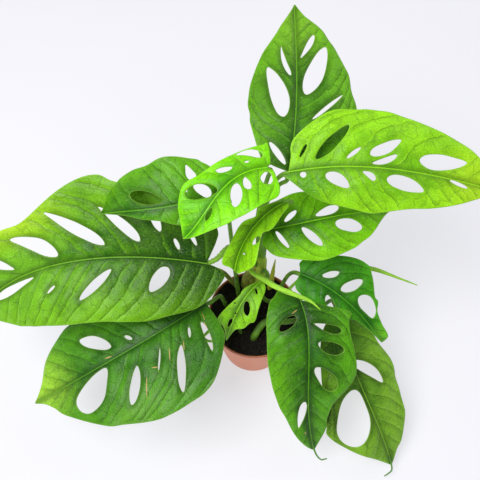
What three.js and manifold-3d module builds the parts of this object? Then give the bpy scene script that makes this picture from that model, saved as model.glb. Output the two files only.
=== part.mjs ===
// A potted Monstera obliqua: twelve windowed leaves on one short climbing stem, in a 10.5 cm nursery pot.
// Millimetres, +Z up. The origin is on the floor under the middle of the pot, and the front faces -Y.

import * as THREE from "three";
import { mergeVertices } from "three/addons/utils/BufferGeometryUtils.js";
import Module from "manifold-3d";

const wasm = await Module();
wasm.setup();

// Clearance between separate pieces that touch on the plant.
const GAP = 0.35;

// The pot is a thin-walled cone with a thicker lip and six drain holes.
const POT = {
  height: 96, mouth: 52.5, foot: 38.5, wall: 1.4, floor: 1.6, lip: 1.9, lipHeight: 3, round: 0.5, sides: 40,
};
const DRAIN = { count: 6, radius: 4, ring: 26, sides: 10 };

// The peat fills the pot to a little below the lip, in low swells.
const SOIL = { level: 93, swell: 0.6, swellLengths: [6, 7], rings: 4, sides: 36 };

// A blade is thin, with a keel under its midrib, sunk veins and raised panels between them.
const BLADE = { thick: 0.8, keel: 1.2, keelStart: 4, keelFull: 14, keelHalf: 1.8, relief: 0.5 };

// Steps along the margin, the midrib and the side veins, and the room that relief keeps from any edge.
const GRID = { edge: 9.5, ribStart: 5, rib: 10, rowStart: 9, row: 13, panelShift: 4, widePanel: 11 };
const ROOM = { midrib: 1, keelSide: 1.2, vein: 2.5, panel: 3 };

// A side vein leans forward from the midrib, more so towards the tip, and bows forward as it goes out.
const VEIN = { lean: 0.3, leanGrowth: 1.6, bow: 0.35 };

// Leaf stalks are round, and end in a bent knee under the start of the midrib.
const STALK = { radii: [2.7, 2.4, 2.1], sides: 7, step: 12, seatAhead: 2, kneeBehind: 7, kneeDrop: 2.5 };
const DRIP_TIP = { starts: [12, 4], radii: [0.7, 1.1, 0.9, 0.7], sides: 6 };

// A rolled leaf has eight corners, with every second one drawn in.
const ROLLED = { sides: 8, groove: 0.8 };

// Feet of the stalks stand this high above the floor, in holes in the soil.
const FOOT = 72;

// Each leaf is drawn in its own frame: s mm along the midrib from the stalk, t mm to the right of it.
// rib: the four points of the midrib's Bezier curve, in space. length: its length.
// face: the way that the upper side looks, at the base and at the tip.
// fold and curl: how the left and right halves rise from the midrib and bend back, in degrees at half mm out.
// left and right: the margin's points [s, width] from the base to the tip.
// veins: where the side veins leave the midrib, left and right.
// windows: holes [s, t, half length, half width, turn in degrees, egg shape, bend].
// stalk: the leaf stalk's points before the knee. own: its name, where it stands in the soil by itself.
// radii: the stalk's radii, where they aren't the usual ones. tail: points of a thread-like end past the tip.
// knee: the knee's place ahead of, right of and above the midrib's start, where it isn't the usual one.
const LEAVES = {
  leaf_top: {
    colour: 0x5fae2a,
    rib: [[31, 83, 255], [45, 149, 275], [41, 217, 290], [43, 287, 285]],
    length: 208,
    face: [[0, -0.5, 1], [0, -0.3, 1]],
    half: 50,
    fold: [10, 10],
    curl: [25, 25],
    left: [[3, 17], [8, 29], [45, 44], [58, 46], [73, 49], [100, 46], [130, 36], [149, 26], [193, 5]],
    right: [[8, 22], [27, 42], [52, 58], [75, 63], [92, 57], [115, 52], [148, 36], [172, 24], [188, 10]],
    veins: [[3, 20, 33, 42, 93, 124, 142, 164], [4, 22, 38, 53, 66, 113, 137, 155, 175]],
    windows: [
      [86, -20, 30, 9.5, -17, -0.3, 2],
      [124, -12, 19, 2.5, -15, -0.6, -2],
      [143, 12, 17.5, 3, 26, 0.5, 1],
      [113, 20, 31, 9.5, 20, -0.2, 0],
      [72, 32, 22, 2, 45, -0.2, 0],
      [17, -14, 14, 3.5, -43, 0, 0],
    ],
    stalk: [[6, 42, 138], [6, 51, 172], [5, 58, 205], [11, 67, 227], [23, 77, 243]],
  },
  leaf_right_high: {
    colour: 0x74cc1e,
    rib: [[30, 76, 265], [100, 84, 278], [169, 66, 275], [235, 63, 250]],
    length: 209,
    face: [[0, -0.3, 1], [0, -0.2, 1]],
    half: 50,
    fold: [12, 0],
    curl: [15, 40],
    left: [[4, 13], [10, 32], [42, 55], [64, 57], [79, 58], [108, 54], [144, 44], [170, 34], [197, 16]],
    right: [[-8, 1], [-2, 7], [14, 23], [33, 34], [64, 41], [85, 44], [118, 36], [143, 31], [170, 21]],
    veins: [[2, 14, 37, 58, 97, 148, 166, 184], [4, 21, 49, 61, 77, 117, 135, 148, 172, 190]],
    windows: [
      [16, -18, 7.5, 1.5, -58, 0, 0],
      [42, -24, 22, 5.5, -46, -0.1, 1],
      [61, -13, 8.5, 2, -40, 0, 0],
      [90, -20, 16, 5.5, -32, -0.3, 1],
      [90, -8, 12.5, 3, -24, 0.2, 2],
      [146, -15, 23.5, 8, -9, -0.3, 1],
      [13, 5, 3, 3, 25, 0.1, 0],
      [46, 13, 13, 6, 30, -0.2, -1],
      [76, 8, 7.5, 3, 31, 0.5, -1],
      [112, 13, 19, 7, 10, -0.2, -1],
      [164, 3, 10, 2, 11, 0, 0],
    ],
    stalk: [[9, 42, 138], [10, 51, 172], [7, 61, 205], [10, 69, 230], [17, 75, 248]],
  },
  leaf_right_middle: {
    colour: 0x5cb81a,
    rib: [[12, 50, 200], [56, 52, 210], [97, 69, 210], [142, 74, 195]],
    length: 134,
    face: [[0.1, -0.2, 1], [0.1, -0.2, 1]],
    half: 40,
    fold: [5, 5],
    curl: [25, 25],
    left: [[-1, 16], [6, 27], [43, 35], [91, 27], [113, 18]],
    right: [
      [-4, 4], [-7, 14], [-3, 21], [7, 30], [37, 40], [52, 42], [82, 37], [96, 31], [108, 24], [129, 3],
    ],
    veins: [[3, 12, 30, 44, 74, 90, 106], [2, 17, 41, 54, 86, 103]],
    windows: [
      [26, -10, 9, 3, -33, 0, 0],
      [65, -7, 13.5, 4.5, -10, 0.4, 0],
      [13, 13, 11.5, 2.5, 63, 0, 0],
      [43, 16, 14, 4.5, 54, 0, 0],
      [84, 12, 14.5, 7.5, 18, 0, 0],
    ],
    stalk: [[8, 40, 138], [8, 46, 162], [5, 49, 182]],
  },
  leaf_centre_high: {
    colour: 0x7fd422,
    rib: [[8, 63, 290], [-37, 55, 297], [-43, 13, 285], [-68, 4, 262]],
    length: 106,
    face: [[-0.1, -0.2, 1], [-0.2, -0.3, 1]],
    half: 40,
    fold: [15, 10],
    curl: [20, 20],
    left: [[-6, 6], [-4, 31], [35, 37], [64, 27], [80, 16]],
    right: [[-4, 5], [-4, 24], [2, 22], [21, 21], [48, 26], [63, 31], [83, 24], [96, 14]],
    veins: [[7, 20.5, 38, 54, 74, 90], [13, 28, 54, 70, 86]],
    windows: [
      [10, 16, 9.5, 3, 24, -0.7, 2],
      [31, 13, 7, 2.5, 32, 0, -1],
      [13, 9, 2, 1, 15, 0, 0],
      [58, 14, 15, 7.5, 46, 0.1, 1],
      [71, -4, 6.5, 2.5, -11, 0, 0],
      [41, -14, 13, 6, -36, -0.1, -1],
      [23, -11, 7, 4, -72, 0.5, 0],
      [2, -11, 7, 5.5, -74, 0.3, 0],
    ],
    stalk: [[4, 41, 130], [3, 50, 174], [2, 60, 212], [6, 67, 240], [10, 67, 270]],
    knee: [-5, 0, -6],
  },
  leaf_young_folded: {
    colour: 0x8fdc28,
    rib: [[30, 59, 240], [2, 47, 238], [-19, 23, 218], [-22, 6, 192]],
    length: 94,
    face: [[-0.2, -0.2, 1], [-0.2, -0.2, 1]],
    half: 25,
    fold: [30, 30],
    curl: [10, 10],
    left: [[1, 6], [7, 11], [26, 19], [34, 19], [43, 15], [70, 26], [92, 8]],
    right: [[25, 9], [34, 6], [46, 12], [66, 12], [86, 14], [90, 5]],
    veins: [[8, 26, 47, 67, 80], [8, 24, 40, 56, 72]],
    windows: [
      [70, -7, 2.5, 1, 61, -0.1, 0],
      [51, -13, 5.5, 3, 12, -0.2, 0],
    ],
    stalk: [[5, 41, 130], [5, 50, 174], [4, 60, 206], [14, 66, 220], [27, 66, 228]],
    knee: [-5, 0, -6.5],
  },
  leaf_left_high: {
    colour: 0x4f9d22,
    rib: [[-34, 61, 256], [-76, 30, 266], [-127, 38, 258], [-156, 55, 222]],
    length: 140,
    face: [[0, -0.2, 1], [-0.1, -0.1, 1]],
    half: 55,
    fold: [-25, 20],
    curl: [10, 15],
    left: [[-5, 15], [15, 26], [47, 19], [62, 13], [82, 9], [102, 4]],
    right: [
      [-6, 10], [-2, 23], [5, 32], [13, 39], [47, 47], [78, 42], [99, 39], [129, 25], [135, 18], [136, 9],
    ],
    veins: [[4, 20, 38, 56, 76, 96, 114], [1, 21, 33, 46, 82, 100, 116]],
    windows: [
      [76, 11, 19, 6.5, 15, 0.1, 0],
      [23, 27, 8, 5, 80, -0.5, 0],
      [17, 7, 9.5, 5.5, 47, -0.2, 1],
      [33, 11, 1.5, 1.5, 67, -0.1, 1],
    ],
    stalk: [[-18, 22, FOOT], [-18, 22, 92], [-21, 33, 125], [-26, 51, 185], [-29, 61, 232]],
    own: "stalk_left_high",
  },
  leaf_left_big: {
    colour: 0x4a9624,
    rib: [[-49, 18, 185], [-148, 28, 202], [-258, 24, 187], [-306, -15, 118]],
    length: 286,
    face: [[0, -0.3, 1], [-0.1, -0.3, 1]],
    half: 75,
    fold: [5, 25],
    curl: [25, 5],
    left: [
      [-13, 4], [-18, 13], [1, 44], [36, 59], [59, 65], [99, 65], [161, 62], [215, 50], [240, 38], [272, 12],
    ],
    right: [
      [1, 3], [-4, 25], [-3, 37], [11, 52], [50, 69], [86, 77], [101, 85], [124, 79], [169, 53], [193, 52],
      [206, 48], [235, 33], [262, 16],
    ],
    veins: [[6, 20, 44, 60, 74, 97, 113, 127, 145, 165], [2, 14, 38, 66, 78, 103, 118, 152, 194, 212, 232]],
    windows: [
      [125, 34, 32.5, 6, 40, -0.4, -1],
      [168, 25, 25.5, 7.5, 37, -0.3, 2],
      [209, 19, 13, 4.5, 47, 0.5, -1],
      [84, 35, 25.5, 5, 45, -0.5, 1],
      [53, 40, 13.5, 4, 67, 0, 0],
      [32, 16, 6.5, 2, 64, 0, 0],
      [18, 24, 8.5, 2, 60, 0, 0],
      [112, -27, 23, 5, -38, 0, -1],
      [163, -24, 6.5, 1.5, -29, 0, 0],
      [212, -7, 30.5, 4.5, 0, 0.4, -2],
      [46, -22, 15, 7.5, -59, -0.2, 0],
    ],
    stalk: [[2, 39, 118], [-7, 46, 150], [-18, 43, 177], [-29, 35, 187]],
    radii: [2.8, 2.6, 2.6, 3.4, 3.2, 2.2],
    knee: [-8, 7, -2.5],
  },
  leaf_left_low: {
    colour: 0x3f8c30,
    rib: [[-53, -6, 140], [-111, -50, 146], [-173, -77, 122], [-242, -97, 72]],
    length: 226,
    face: [[-0.1, 0, 1], [-0.1, -0.1, 1]],
    half: 70,
    fold: [8, 8],
    curl: [20, 25],
    left: [
      [3, 31], [9, 47], [34, 72], [51, 80], [67, 81], [85, 81], [105, 78], [133, 67], [151, 59], [188, 31],
      [200, 17], [212, 7],
    ],
    right: [
      [5, 8], [20, 21], [47, 35], [76, 47], [109, 57], [137, 62], [160, 62], [182, 51], [198, 38], [213, 12],
    ],
    veins: [[13, 37, 46, 59, 85, 99, 153, 170, 187], [6, 24, 42, 60, 77, 90, 117, 136, 156, 176, 196]],
    windows: [
      [134, 26, 21, 7, 37, 0, 1],
      [95, 12, 5, 2, 48, 0, 0],
      [151, -20, 25, 15, -34, 0.4, -2],
      [108, -37, 19.5, 5.5, -59, 0.2, -1],
      [75, -27, 12.5, 1, -61, 0, 0],
      [59, -47, 24, 4.5, -64, 0, 1],
      [34, -19, 6, 1.5, -64, 0, 0],
      [21, -33, 17.5, 3, -77, -0.2, -1],
    ],
    stalk: [[-33, 11, FOOT], [-33, 11, 92], [-35, 9, 112], [-39, 5, 132]],
    own: "stalk_left_low",
  },
  leaf_front: {
    colour: 0x419a2c,
    rib: [[47, -7, 150], [64, -56, 152], [46, -98, 105], [66, -140, 38]],
    length: 183,
    face: [[0, -0.1, 1], [0, -0.3, 1]],
    half: 45,
    fold: [8, 8],
    curl: [25, 25],
    left: [
      [4, 5], [15, 24], [26, 48], [35, 45], [47, 45], [84, 50], [104, 48], [129, 28], [147, 20], [162, 17],
    ],
    right: [
      [-13, 7], [-18, 16], [-13, 24], [-6, 33], [15, 41], [50, 43], [89, 42], [125, 33], [142, 25], [159, 18],
      [175, 8],
    ],
    veins: [[4, 15, 32, 60, 95, 114, 132, 150], [5, 28, 44, 62, 80, 98, 114, 139, 158]],
    windows: [
      [29, 20, 13, 6.5, 43, -0.2, 0],
      [140, 8, 15, 4, 17, -0.5, 0],
      [40, -21, 15.5, 4.5, -66, 0.6, 1],
      [63, -23, 14, 7, -69, 0.1, 1],
      [99, -18, 17, 8.5, -38, 0.1, -1],
    ],
    tail: [[69, -145, 35], [74, -149, 32], [80, -148, 32]],
    stalk: [[9, 22, FOOT], [9, 22, 91], [15, 8, 112], [26, 1, 130], [37, 1, 141]],
    own: "stalk_front",
  },
  leaf_front_right: {
    colour: 0x4f9d2e,
    rib: [[95, 0, 100], [99, -63, 96], [135, -104, 66], [156, -152, 14]],
    length: 191,
    face: [[0.2, -0.1, 1], [0.2, -0.3, 1]],
    half: 45,
    fold: [8, 8],
    curl: [25, 25],
    left: [[5, 19], [23, 32], [55, 41], [76, 47], [101, 46], [145, 38], [169, 22], [178, 11]],
    right: [[24, 25], [92, 47], [113, 54], [124, 57], [145, 45], [158, 34], [168, 24]],
    veins: [[6, 26, 48, 80, 98, 115, 132, 150], [6, 26, 44, 60, 130, 150, 168]],
    windows: [
      [120, 23, 31.5, 20, 22, 0.2, 2],
      [79, -14, 24.5, 6.5, -34, -0.1, -4],
    ],
    tail: [[156, -157, 12], [153, -160, 10], [148, -163, 9]],
    stalk: [
      [-1, -28, FOOT], [-1, -28, 94], [12, -15, 107], [36, -17, 113], [63, -9, 113], [80, 6, 109],
      [88, 12, 104],
    ],
    radii: [4.2, 4.2, 3.8, 3, 2.4, 2.2, 2.1],
    own: "stalk_front_right",
  },
  leaf_right_low: {
    colour: 0x3f922a,
    rib: [[49, 27, 143], [90, 10, 144], [120, -18, 128], [142, -34, 92]],
    length: 128,
    face: [[0.1, -0.4, 1], [0.1, -0.4, 1]],
    half: 40,
    fold: [10, 5],
    curl: [10, 30],
    left: [
      [-2, 6], [-4, 12], [5, 22], [37, 42], [53, 46], [60, 42], [78, 26], [85, 24], [93, 16], [109, 12],
      [126, 10],
    ],
    right: [[2, 17], [32, 25], [55, 24], [72, 16], [84, 8]],
    veins: [[4, 14, 27, 47, 88, 104], [8, 24, 47, 64, 82, 98]],
    windows: [
      [29, -14, 9, 3.5, -45, 0, 1],
      [53, -17, 13, 5.5, -64, -0.1, 1],
      [81, -12, 14.5, 8, 11, -0.3, -2],
      [45, 12, 9, 4, 19, -0.2, 2],
    ],
    stalk: [[26, 22, FOOT], [26, 22, 92], [32, 28, 115], [38, 32, 130]],
    own: "stalk_right_low",
  },
  leaf_small_lace: {
    colour: 0x86c832,
    rib: [[8, 16, 150], [-18, -4, 152], [-26, -29, 132], [-32, -35, 100]],
    length: 90,
    face: [[-0.2, -0.3, 1], [-0.2, -0.3, 1]],
    half: 20,
    fold: [10, 10],
    curl: [20, 20],
    left: [[7, 12], [42, 22], [51, 18], [60, 14], [67, 6]],
    right: [[5, 2], [21, 7], [31, 7], [64, 17], [69, 11], [75, 5]],
    veins: [[6, 19, 40, 54, 66], [10, 24, 39, 72]],
    windows: [
      [37, -8, 7, 2.5, -28, -0.1, 0],
      [16, -5, 5, 0.5, -42, -0.1, 0],
      [63, 2, 8, 1, -2, -0.3, 0],
      [50, 2, 3, 1.5, -20, -0.1, 0],
      [39, 8, 2, 1, -51, 0.2, 0],
    ],
    stalk: [[5, 38, 122], [10, 33, 138], [13, 28, 144]],
  },
};

// The climbing stem, the old sheath at its side and the stalk of the long rolled leaf are one growth.
const STEM = {
  colour: 0x6f8f2c,
  sides: 12,
  main: { path: [[6, 36, FOOT], [6, 36, 94], [7, 39, 120], [7, 42, 146]], radii: [6.5, 6.8, 6] },
  sheath: { path: [[-7, 37, FOOT], [-7, 37, 94], [-5, 39, 114], [3, 41, 132]], radii: [7.2, 8, 6.8, 4] },
  rolledStalk: { path: [[3, 40, 138], [-4, 35, 156], [-7, 25, 164]], radii: [2.6, 2, 2] },
};

// Rolled new leaves and stumps, as points and radii. A ridged one shows the turns of the rolled blade.
const SHOOTS = {
  rolled_leaf_front: {
    colour: 0x93d83c,
    path: [
      [-7.2, 24.4, 164.5], [-7.2, 22, 166.2], [-3, 16, 167.5], [6, 10, 168], [20, -1, 171], [36, -9, 172],
      [56, -18, 171], [64, -25, 169],
    ],
    radii: [2, 3.2, 3.4, 3.2, 2.4, 0.8],
    ridged: true,
  },
  rolled_leaf_right: {
    colour: 0x7cb93c,
    path: [
      [34, 20, FOOT], [34, 20, 90], [44, 30, 106], [60, 40, 112], [95, 48, 118], [134, 47, 115],
      [169, 35, 112], [185, 29, 110],
    ],
    radii: [2.2, 1.8, 1.8, 2.2, 3, 2.6, 1.6, 0.6],
    ridged: true,
  },
  rolled_leaf_upright: {
    colour: 0xa8a832,
    path: [[18, 33, FOOT], [18, 33, 90], [20, 37, 110], [23, 47, 136]],
    radii: [3.6, 3.6, 3, 2.4, 0.6],
    ridged: true,
  },
  old_stalk: {
    colour: 0x3e5e26,
    path: [[-20, 35, FOOT], [-20, 35, 90], [-27, 38, 103], [-35, 43, 112], [-42, 44, 118]],
    radii: [2.8, 2.8, 2.4],
  },
  curled_shoot: {
    colour: 0x8ac63a,
    path: [
      [-34, -12, FOOT], [-34, -12, 94], [-43, -20, 108], [-53, -28, 107], [-57, -31, 101], [-53, -33, 96],
      [-47, -34, 97], [-44, -33, 101],
    ],
    radii: [1.8, 1.8, 1.8, 1.8, 1.6, 1.2],
  },
  cut_stub: {
    colour: 0x8aa860,
    path: [[-14, -25, FOOT], [-14, -25, 88], [-17, -20, 97]],
    radii: [2.4, 2.2],
  },
};

const POT_COLOUR = 0xd88c73;
const SOIL_COLOUR = 0x17130f;

const clamp = THREE.MathUtils.clamp;
const vec = (point) => new THREE.Vector3(...point);

// Value at u, from 0 to 1, on the straight pieces through evenly spaced values.
function between(values, u) {
  const place = u * (values.length - 1);
  const first = Math.min(Math.floor(place), values.length - 2);
  return THREE.MathUtils.lerp(values[first], values[first + 1], place - first);
}

function toSolid(geometry) {
  const bare = geometry.clone();
  bare.deleteAttribute("normal");
  bare.deleteAttribute("uv");
  const merged = mergeVertices(bare, 1e-4);
  const vertProperties = new Float32Array(merged.attributes.position.array);
  const triVerts = new Uint32Array(merged.index.array);
  return new wasm.Manifold(new wasm.Mesh({ numProp: 3, vertProperties, triVerts }));
}

function fromSolid(solid) {
  const mesh = solid.getMesh();
  const geometry = new THREE.BufferGeometry();
  geometry.setAttribute("position", new THREE.BufferAttribute(new Float32Array(mesh.vertProperties), 3));
  geometry.setIndex(Array.from(mesh.triVerts));
  return geometry;
}

function join(pieces) {
  return fromSolid(pieces.map(toSolid).reduce((whole, piece) => whole.add(piece)));
}

function cut(piece, tools) {
  return fromSolid(tools.map(toSolid).reduce((rest, tool) => rest.subtract(tool), toSolid(piece)));
}

// Corners of a regular section, with every second one drawn in for a ridged one.
function ringPoints(sides, ridged = false) {
  return Array.from({ length: sides }, (_, i) => {
    const angle = (2 * Math.PI * i) / sides;
    const radius = ridged && i % 2 ? ROLLED.groove : 1;
    return new THREE.Vector2(radius * Math.cos(angle), radius * Math.sin(angle));
  });
}

// A stalk along a smooth curve through the points, its radius running evenly through the radii.
function stalk(points, radii, sides = STALK.sides, ridged = false) {
  const path = new THREE.CatmullRomCurve3(points.map(vec));
  const steps = Math.max(2, Math.round(path.getLength() / STALK.step));
  const section = new THREE.Shape(ringPoints(sides, ridged));
  const geometry = new THREE.ExtrudeGeometry(section, { steps, bevelEnabled: false, extrudePath: path });
  const rings = path.getSpacedPoints(steps);
  const position = geometry.attributes.position;
  const corner = new THREE.Vector3();
  for (let i = 0; i < position.count; i += 1) {
    corner.fromBufferAttribute(position, i);
    const distances = rings.map((ring) => ring.distanceTo(corner));
    const nearest = distances.indexOf(Math.min(...distances));
    corner.sub(rings[nearest]).multiplyScalar(between(radii, nearest / steps)).add(rings[nearest]);
    position.setXYZ(i, corner.x, corner.y, corner.z);
  }
  return geometry;
}

// Frame of a leaf at s mm along its midrib. Past either end the midrib runs on straight.
function leafFrame(leaf, s) {
  const midrib = new THREE.CubicBezierCurve3(...leaf.rib.map(vec));
  const w = clamp(s / leaf.length, 0, 1);
  const ahead = midrib.getTangent(w);
  const face = vec(leaf.face[0]).lerp(vec(leaf.face[1]), w);
  const right = ahead.clone().cross(face).normalize();
  const up = right.clone().cross(ahead);
  const origin = midrib.getPoint(w).addScaledVector(ahead, s - w * leaf.length);
  return { origin, ahead, right, up };
}

// Point of a leaf's middle surface, lifted off it by some mm.
function leafPoint(leaf, s, t, lift = 0) {
  const { origin, right, up } = leafFrame(leaf, s);
  const side = t > 0 ? 1 : 0;
  const bend = leaf.fold[side] - (leaf.curl[side] * Math.abs(t)) / (2 * leaf.half);
  const angle = THREE.MathUtils.degToRad(bend);
  const rise = Math.abs(t) * Math.sin(angle) + lift;
  return origin.addScaledVector(right, t * Math.cos(angle)).addScaledVector(up, rise);
}

function leafNormal(leaf, s, t) {
  const reach = 0.5;
  const ahead = leafPoint(leaf, s + reach, t).sub(leafPoint(leaf, s - reach, t));
  const across = leafPoint(leaf, s, t + reach).sub(leafPoint(leaf, s, t - reach));
  return across.cross(ahead).normalize();
}

// Even points of one margin, from the base of the leaf to its tip.
function margin(leaf, points, side) {
  const knots = [[0, 0], ...points, [leaf.length, 0]];
  const curve = new THREE.SplineCurve(knots.map(([s, width]) => new THREE.Vector2(s, side * width)));
  return curve.getSpacedPoints(Math.round(curve.getLength() / GRID.edge));
}

function leafOutline(leaf) {
  const back = margin(leaf, leaf.left, -1).reverse();
  return [...margin(leaf, leaf.right, 1), ...back.slice(1, -1)];
}

// Outline of a window: an egg, bent along its length, turned and set in its place.
function windowOutline([s, t, long, wide, turn, egg, bend]) {
  const sides = clamp(Math.round(long / 2), 6, 12);
  return Array.from({ length: sides }, (_, i) => {
    const angle = (2 * Math.PI * i) / sides;
    const x = long * Math.cos(angle);
    const y = wide * Math.sin(angle) * (1 + egg * Math.cos(angle)) + bend * (Math.sin(angle) ** 2 - 0.5);
    const point = new THREE.Vector2(x, y).rotateAround(new THREE.Vector2(), THREE.MathUtils.degToRad(turn));
    return point.add(new THREE.Vector2(s, t));
  });
}

const turnOf = (a, b, c) => (b.x - a.x) * (c.y - a.y) - (b.y - a.y) * (c.x - a.x);

function isInside(point, loop) {
  let inside = false;
  loop.forEach((a, i) => {
    const b = loop[(i + 1) % loop.length];
    const crosses = a.y > point.y !== b.y > point.y;
    if (crosses && point.x < a.x + ((point.y - a.y) / (b.y - a.y)) * (b.x - a.x)) {
      inside = !inside;
    }
  });
  return inside;
}

function distanceTo(point, loop) {
  const gaps = loop.map((a, i) => {
    const edge = loop[(i + 1) % loop.length].clone().sub(a);
    const place = clamp(point.clone().sub(a).dot(edge) / edge.lengthSq(), 0, 1);
    return point.distanceTo(a.clone().addScaledVector(edge, place));
  });
  return Math.min(...gaps);
}

// Point of a side vein, t mm out from the midrib that it leaves at q: it sweeps forward as it goes out.
function veinPoint(leaf, q, t) {
  const out = Math.abs(t);
  const lean = VEIN.lean + (VEIN.leanGrowth * q) / leaf.length;
  return new THREE.Vector2(q + lean * out + (VEIN.bow * out * out) / leaf.half, t);
}

// Keel depth under the midrib: none over the stalk's seat, full a little further, and fading to the tip.
function keelDepth(leaf, s) {
  const start = THREE.MathUtils.smoothstep(s, BLADE.keelStart, BLADE.keelFull);
  return BLADE.keel * start * (1 - (0.8 * s) / leaf.length);
}

// Points inside a blade that carry its relief: three rows on the midrib, then rows on veins and on panels.
function reliefPoints(leaf, outline, windows) {
  const found = [];
  const add = (at, room, lift, keel = 0) => {
    const nearest = Math.min(...[outline, ...windows].map((loop) => distanceTo(at, loop)));
    const free = isInside(at, outline) && !windows.some((loop) => isInside(at, loop));
    if (free && nearest > room) {
      found.push({ at, lift, keel });
    }
  };
  for (let s = GRID.ribStart; s < leaf.length - GRID.ribStart; s += GRID.rib) {
    add(new THREE.Vector2(s, 0), ROOM.midrib, 0, keelDepth(leaf, s));
    add(new THREE.Vector2(s, -BLADE.keelHalf), ROOM.keelSide, 0);
    add(new THREE.Vector2(s, BLADE.keelHalf), ROOM.keelSide, 0);
  }
  const widest = Math.max(...outline.map((point) => Math.abs(point.y)));
  leaf.veins.forEach((row, side) => {
    const sign = side ? 1 : -1;
    row.forEach((q, i) => {
      const panel = (q + row[i + 1]) / 2;
      for (let t = GRID.rowStart; t < widest; t += GRID.row) {
        add(veinPoint(leaf, q, sign * t), ROOM.vein, -BLADE.relief);
        if (row[i + 1] - q > GRID.widePanel) {
          add(veinPoint(leaf, panel, sign * (t + GRID.panelShift)), ROOM.panel, BLADE.relief);
        }
      }
    });
  });
  return found;
}

// Angle at a corner between the directions to two others.
function angleAt(corner, a, b) {
  const [u, v] = [a.clone().sub(corner), b.clone().sub(corner)];
  return Math.atan2(Math.abs(u.cross(v)), u.dot(v));
}

// Turns the edge between two triangles wherever the corners that face it are too wide, until all are even.
function evenTriangles(points, triangles) {
  let turned = true;
  while (turned) {
    turned = false;
    const seen = new Map();
    const changed = new Set();
    triangles.forEach((triangle, index) => {
      for (let k = 0; k < 3 && !changed.has(index); k += 1) {
        const [apex, from, to] = [triangle[k], triangle[(k + 1) % 3], triangle[(k + 2) % 3]];
        const edge = [from, to].sort((a, b) => a - b).join();
        const other = seen.get(edge);
        seen.set(edge, { index, apex });
        if (other && !changed.has(other.index)) {
          const near = angleAt(points[apex], points[from], points[to]);
          const far = angleAt(points[other.apex], points[from], points[to]);
          if (near + far > Math.PI + 1e-6) {
            triangles[index] = [apex, from, other.apex];
            triangles[other.index] = [apex, other.apex, to];
            changed.add(index).add(other.index);
            turned = true;
          }
        }
      }
    });
  }
  return triangles;
}

// Triangles over a flat outline with windows, through the points inside it.
function splitFlat(outline, windows, inner) {
  const points = [outline, ...windows].flat();
  const triangles = THREE.ShapeUtils.triangulateShape(outline, windows).map(([a, b, c]) => {
    return turnOf(points[a], points[b], points[c]) > 0 ? [a, b, c] : [a, c, b];
  });
  inner.forEach((point) => {
    const room = triangles.map(([a, b, c]) => {
      const corners = [points[a], points[b], points[c]];
      return Math.min(...corners.map((corner, k) => turnOf(corner, corners[(k + 1) % 3], point)));
    });
    const home = room.indexOf(Math.max(...room));
    const [a, b, c] = triangles[home];
    const d = points.push(point) - 1;
    triangles.splice(home, 1, [a, b, d], [b, c, d], [c, a, d]);
  });
  return { points, triangles: evenTriangles(points, triangles) };
}

// A leaf blade: the same triangles on its upper and under side, and a wall round the margin and each window.
function blade(leaf) {
  const outline = leafOutline(leaf);
  const windows = leaf.windows.map(windowOutline);
  const relief = reliefPoints(leaf, outline, windows);
  const { points, triangles } = splitFlat(outline, windows, relief.map((one) => one.at));
  const rimCount = points.length - relief.length;
  const under = points.length;
  const upperSide = [];
  const underSide = [];
  points.forEach((point, i) => {
    const { lift, keel } = relief[i - rimCount] ?? { lift: 0, keel: 0 };
    const middle = leafPoint(leaf, point.x, point.y, lift);
    const normal = leafNormal(leaf, point.x, point.y);
    upperSide.push(...middle.clone().addScaledVector(normal, BLADE.thick / 2));
    underSide.push(...middle.clone().addScaledVector(normal, -BLADE.thick / 2 - keel));
  });
  const faces = [];
  const edges = new Set();
  triangles.forEach(([a, b, c]) => {
    faces.push(a, c, b, a + under, b + under, c + under);
    [[a, b], [b, c], [c, a]].forEach((edge) => edges.add(edge.join()));
  });
  triangles.forEach(([a, b, c]) => {
    [[a, b], [b, c], [c, a]].filter(([from, to]) => !edges.has([to, from].join())).forEach(([from, to]) => {
      faces.push(from, to, from + under, to, to + under, from + under);
    });
  });
  const geometry = new THREE.BufferGeometry();
  geometry.setAttribute("position", new THREE.Float32BufferAttribute([...upperSide, ...underSide], 3));
  geometry.setIndex(faces);
  return leaf.tail ? join([geometry, dripTip(leaf)]) : geometry;
}

// The thread-like end that some leaves carry past their tip.
function dripTip(leaf) {
  const start = DRIP_TIP.starts.map((back) => leafPoint(leaf, leaf.length - back, 0).toArray());
  return stalk([...start, ...leaf.tail], DRIP_TIP.radii, DRIP_TIP.sides);
}

// A leaf stalk, from its foot through the knee to a seat just under the start of the midrib.
function leafStalkPath(leaf) {
  const radius = (leaf.radii ?? STALK.radii).at(-1);
  const drop = BLADE.thick / 2 + GAP + radius;
  const { origin, ahead, right, up } = leafFrame(leaf, 0);
  const place = ([forward, across, rise]) => {
    const middle = origin.clone().addScaledVector(ahead, forward);
    return middle.addScaledVector(right, across).addScaledVector(up, rise);
  };
  const knee = place(leaf.knee ?? [-STALK.kneeBehind, 0, -drop - STALK.kneeDrop]);
  const seat = place([STALK.seatAhead, 0, -drop]);
  return [...leaf.stalk, knee.toArray(), seat.toArray()];
}

function leafStalk(leaf, resize = (radii) => radii) {
  return stalk(leafStalkPath(leaf), resize(leaf.radii ?? STALK.radii));
}

const wider = (radii) => radii.map((radius) => radius + GAP);

// A plain hole for a stem: the widened stem, with its foot set a little deeper.
function stemHole(geometry) {
  const position = geometry.attributes.position;
  for (let i = 0; i < position.count; i += 1) {
    if (position.getZ(i) < FOOT + 1) {
      position.setZ(i, FOOT - GAP);
    }
  }
  return geometry;
}

// Outer radius of the pot's wall at a height.
const wallRadius = (z) => POT.foot + ((POT.mouth - POT.lip / 3 - POT.foot) * z) / POT.height;

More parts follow.
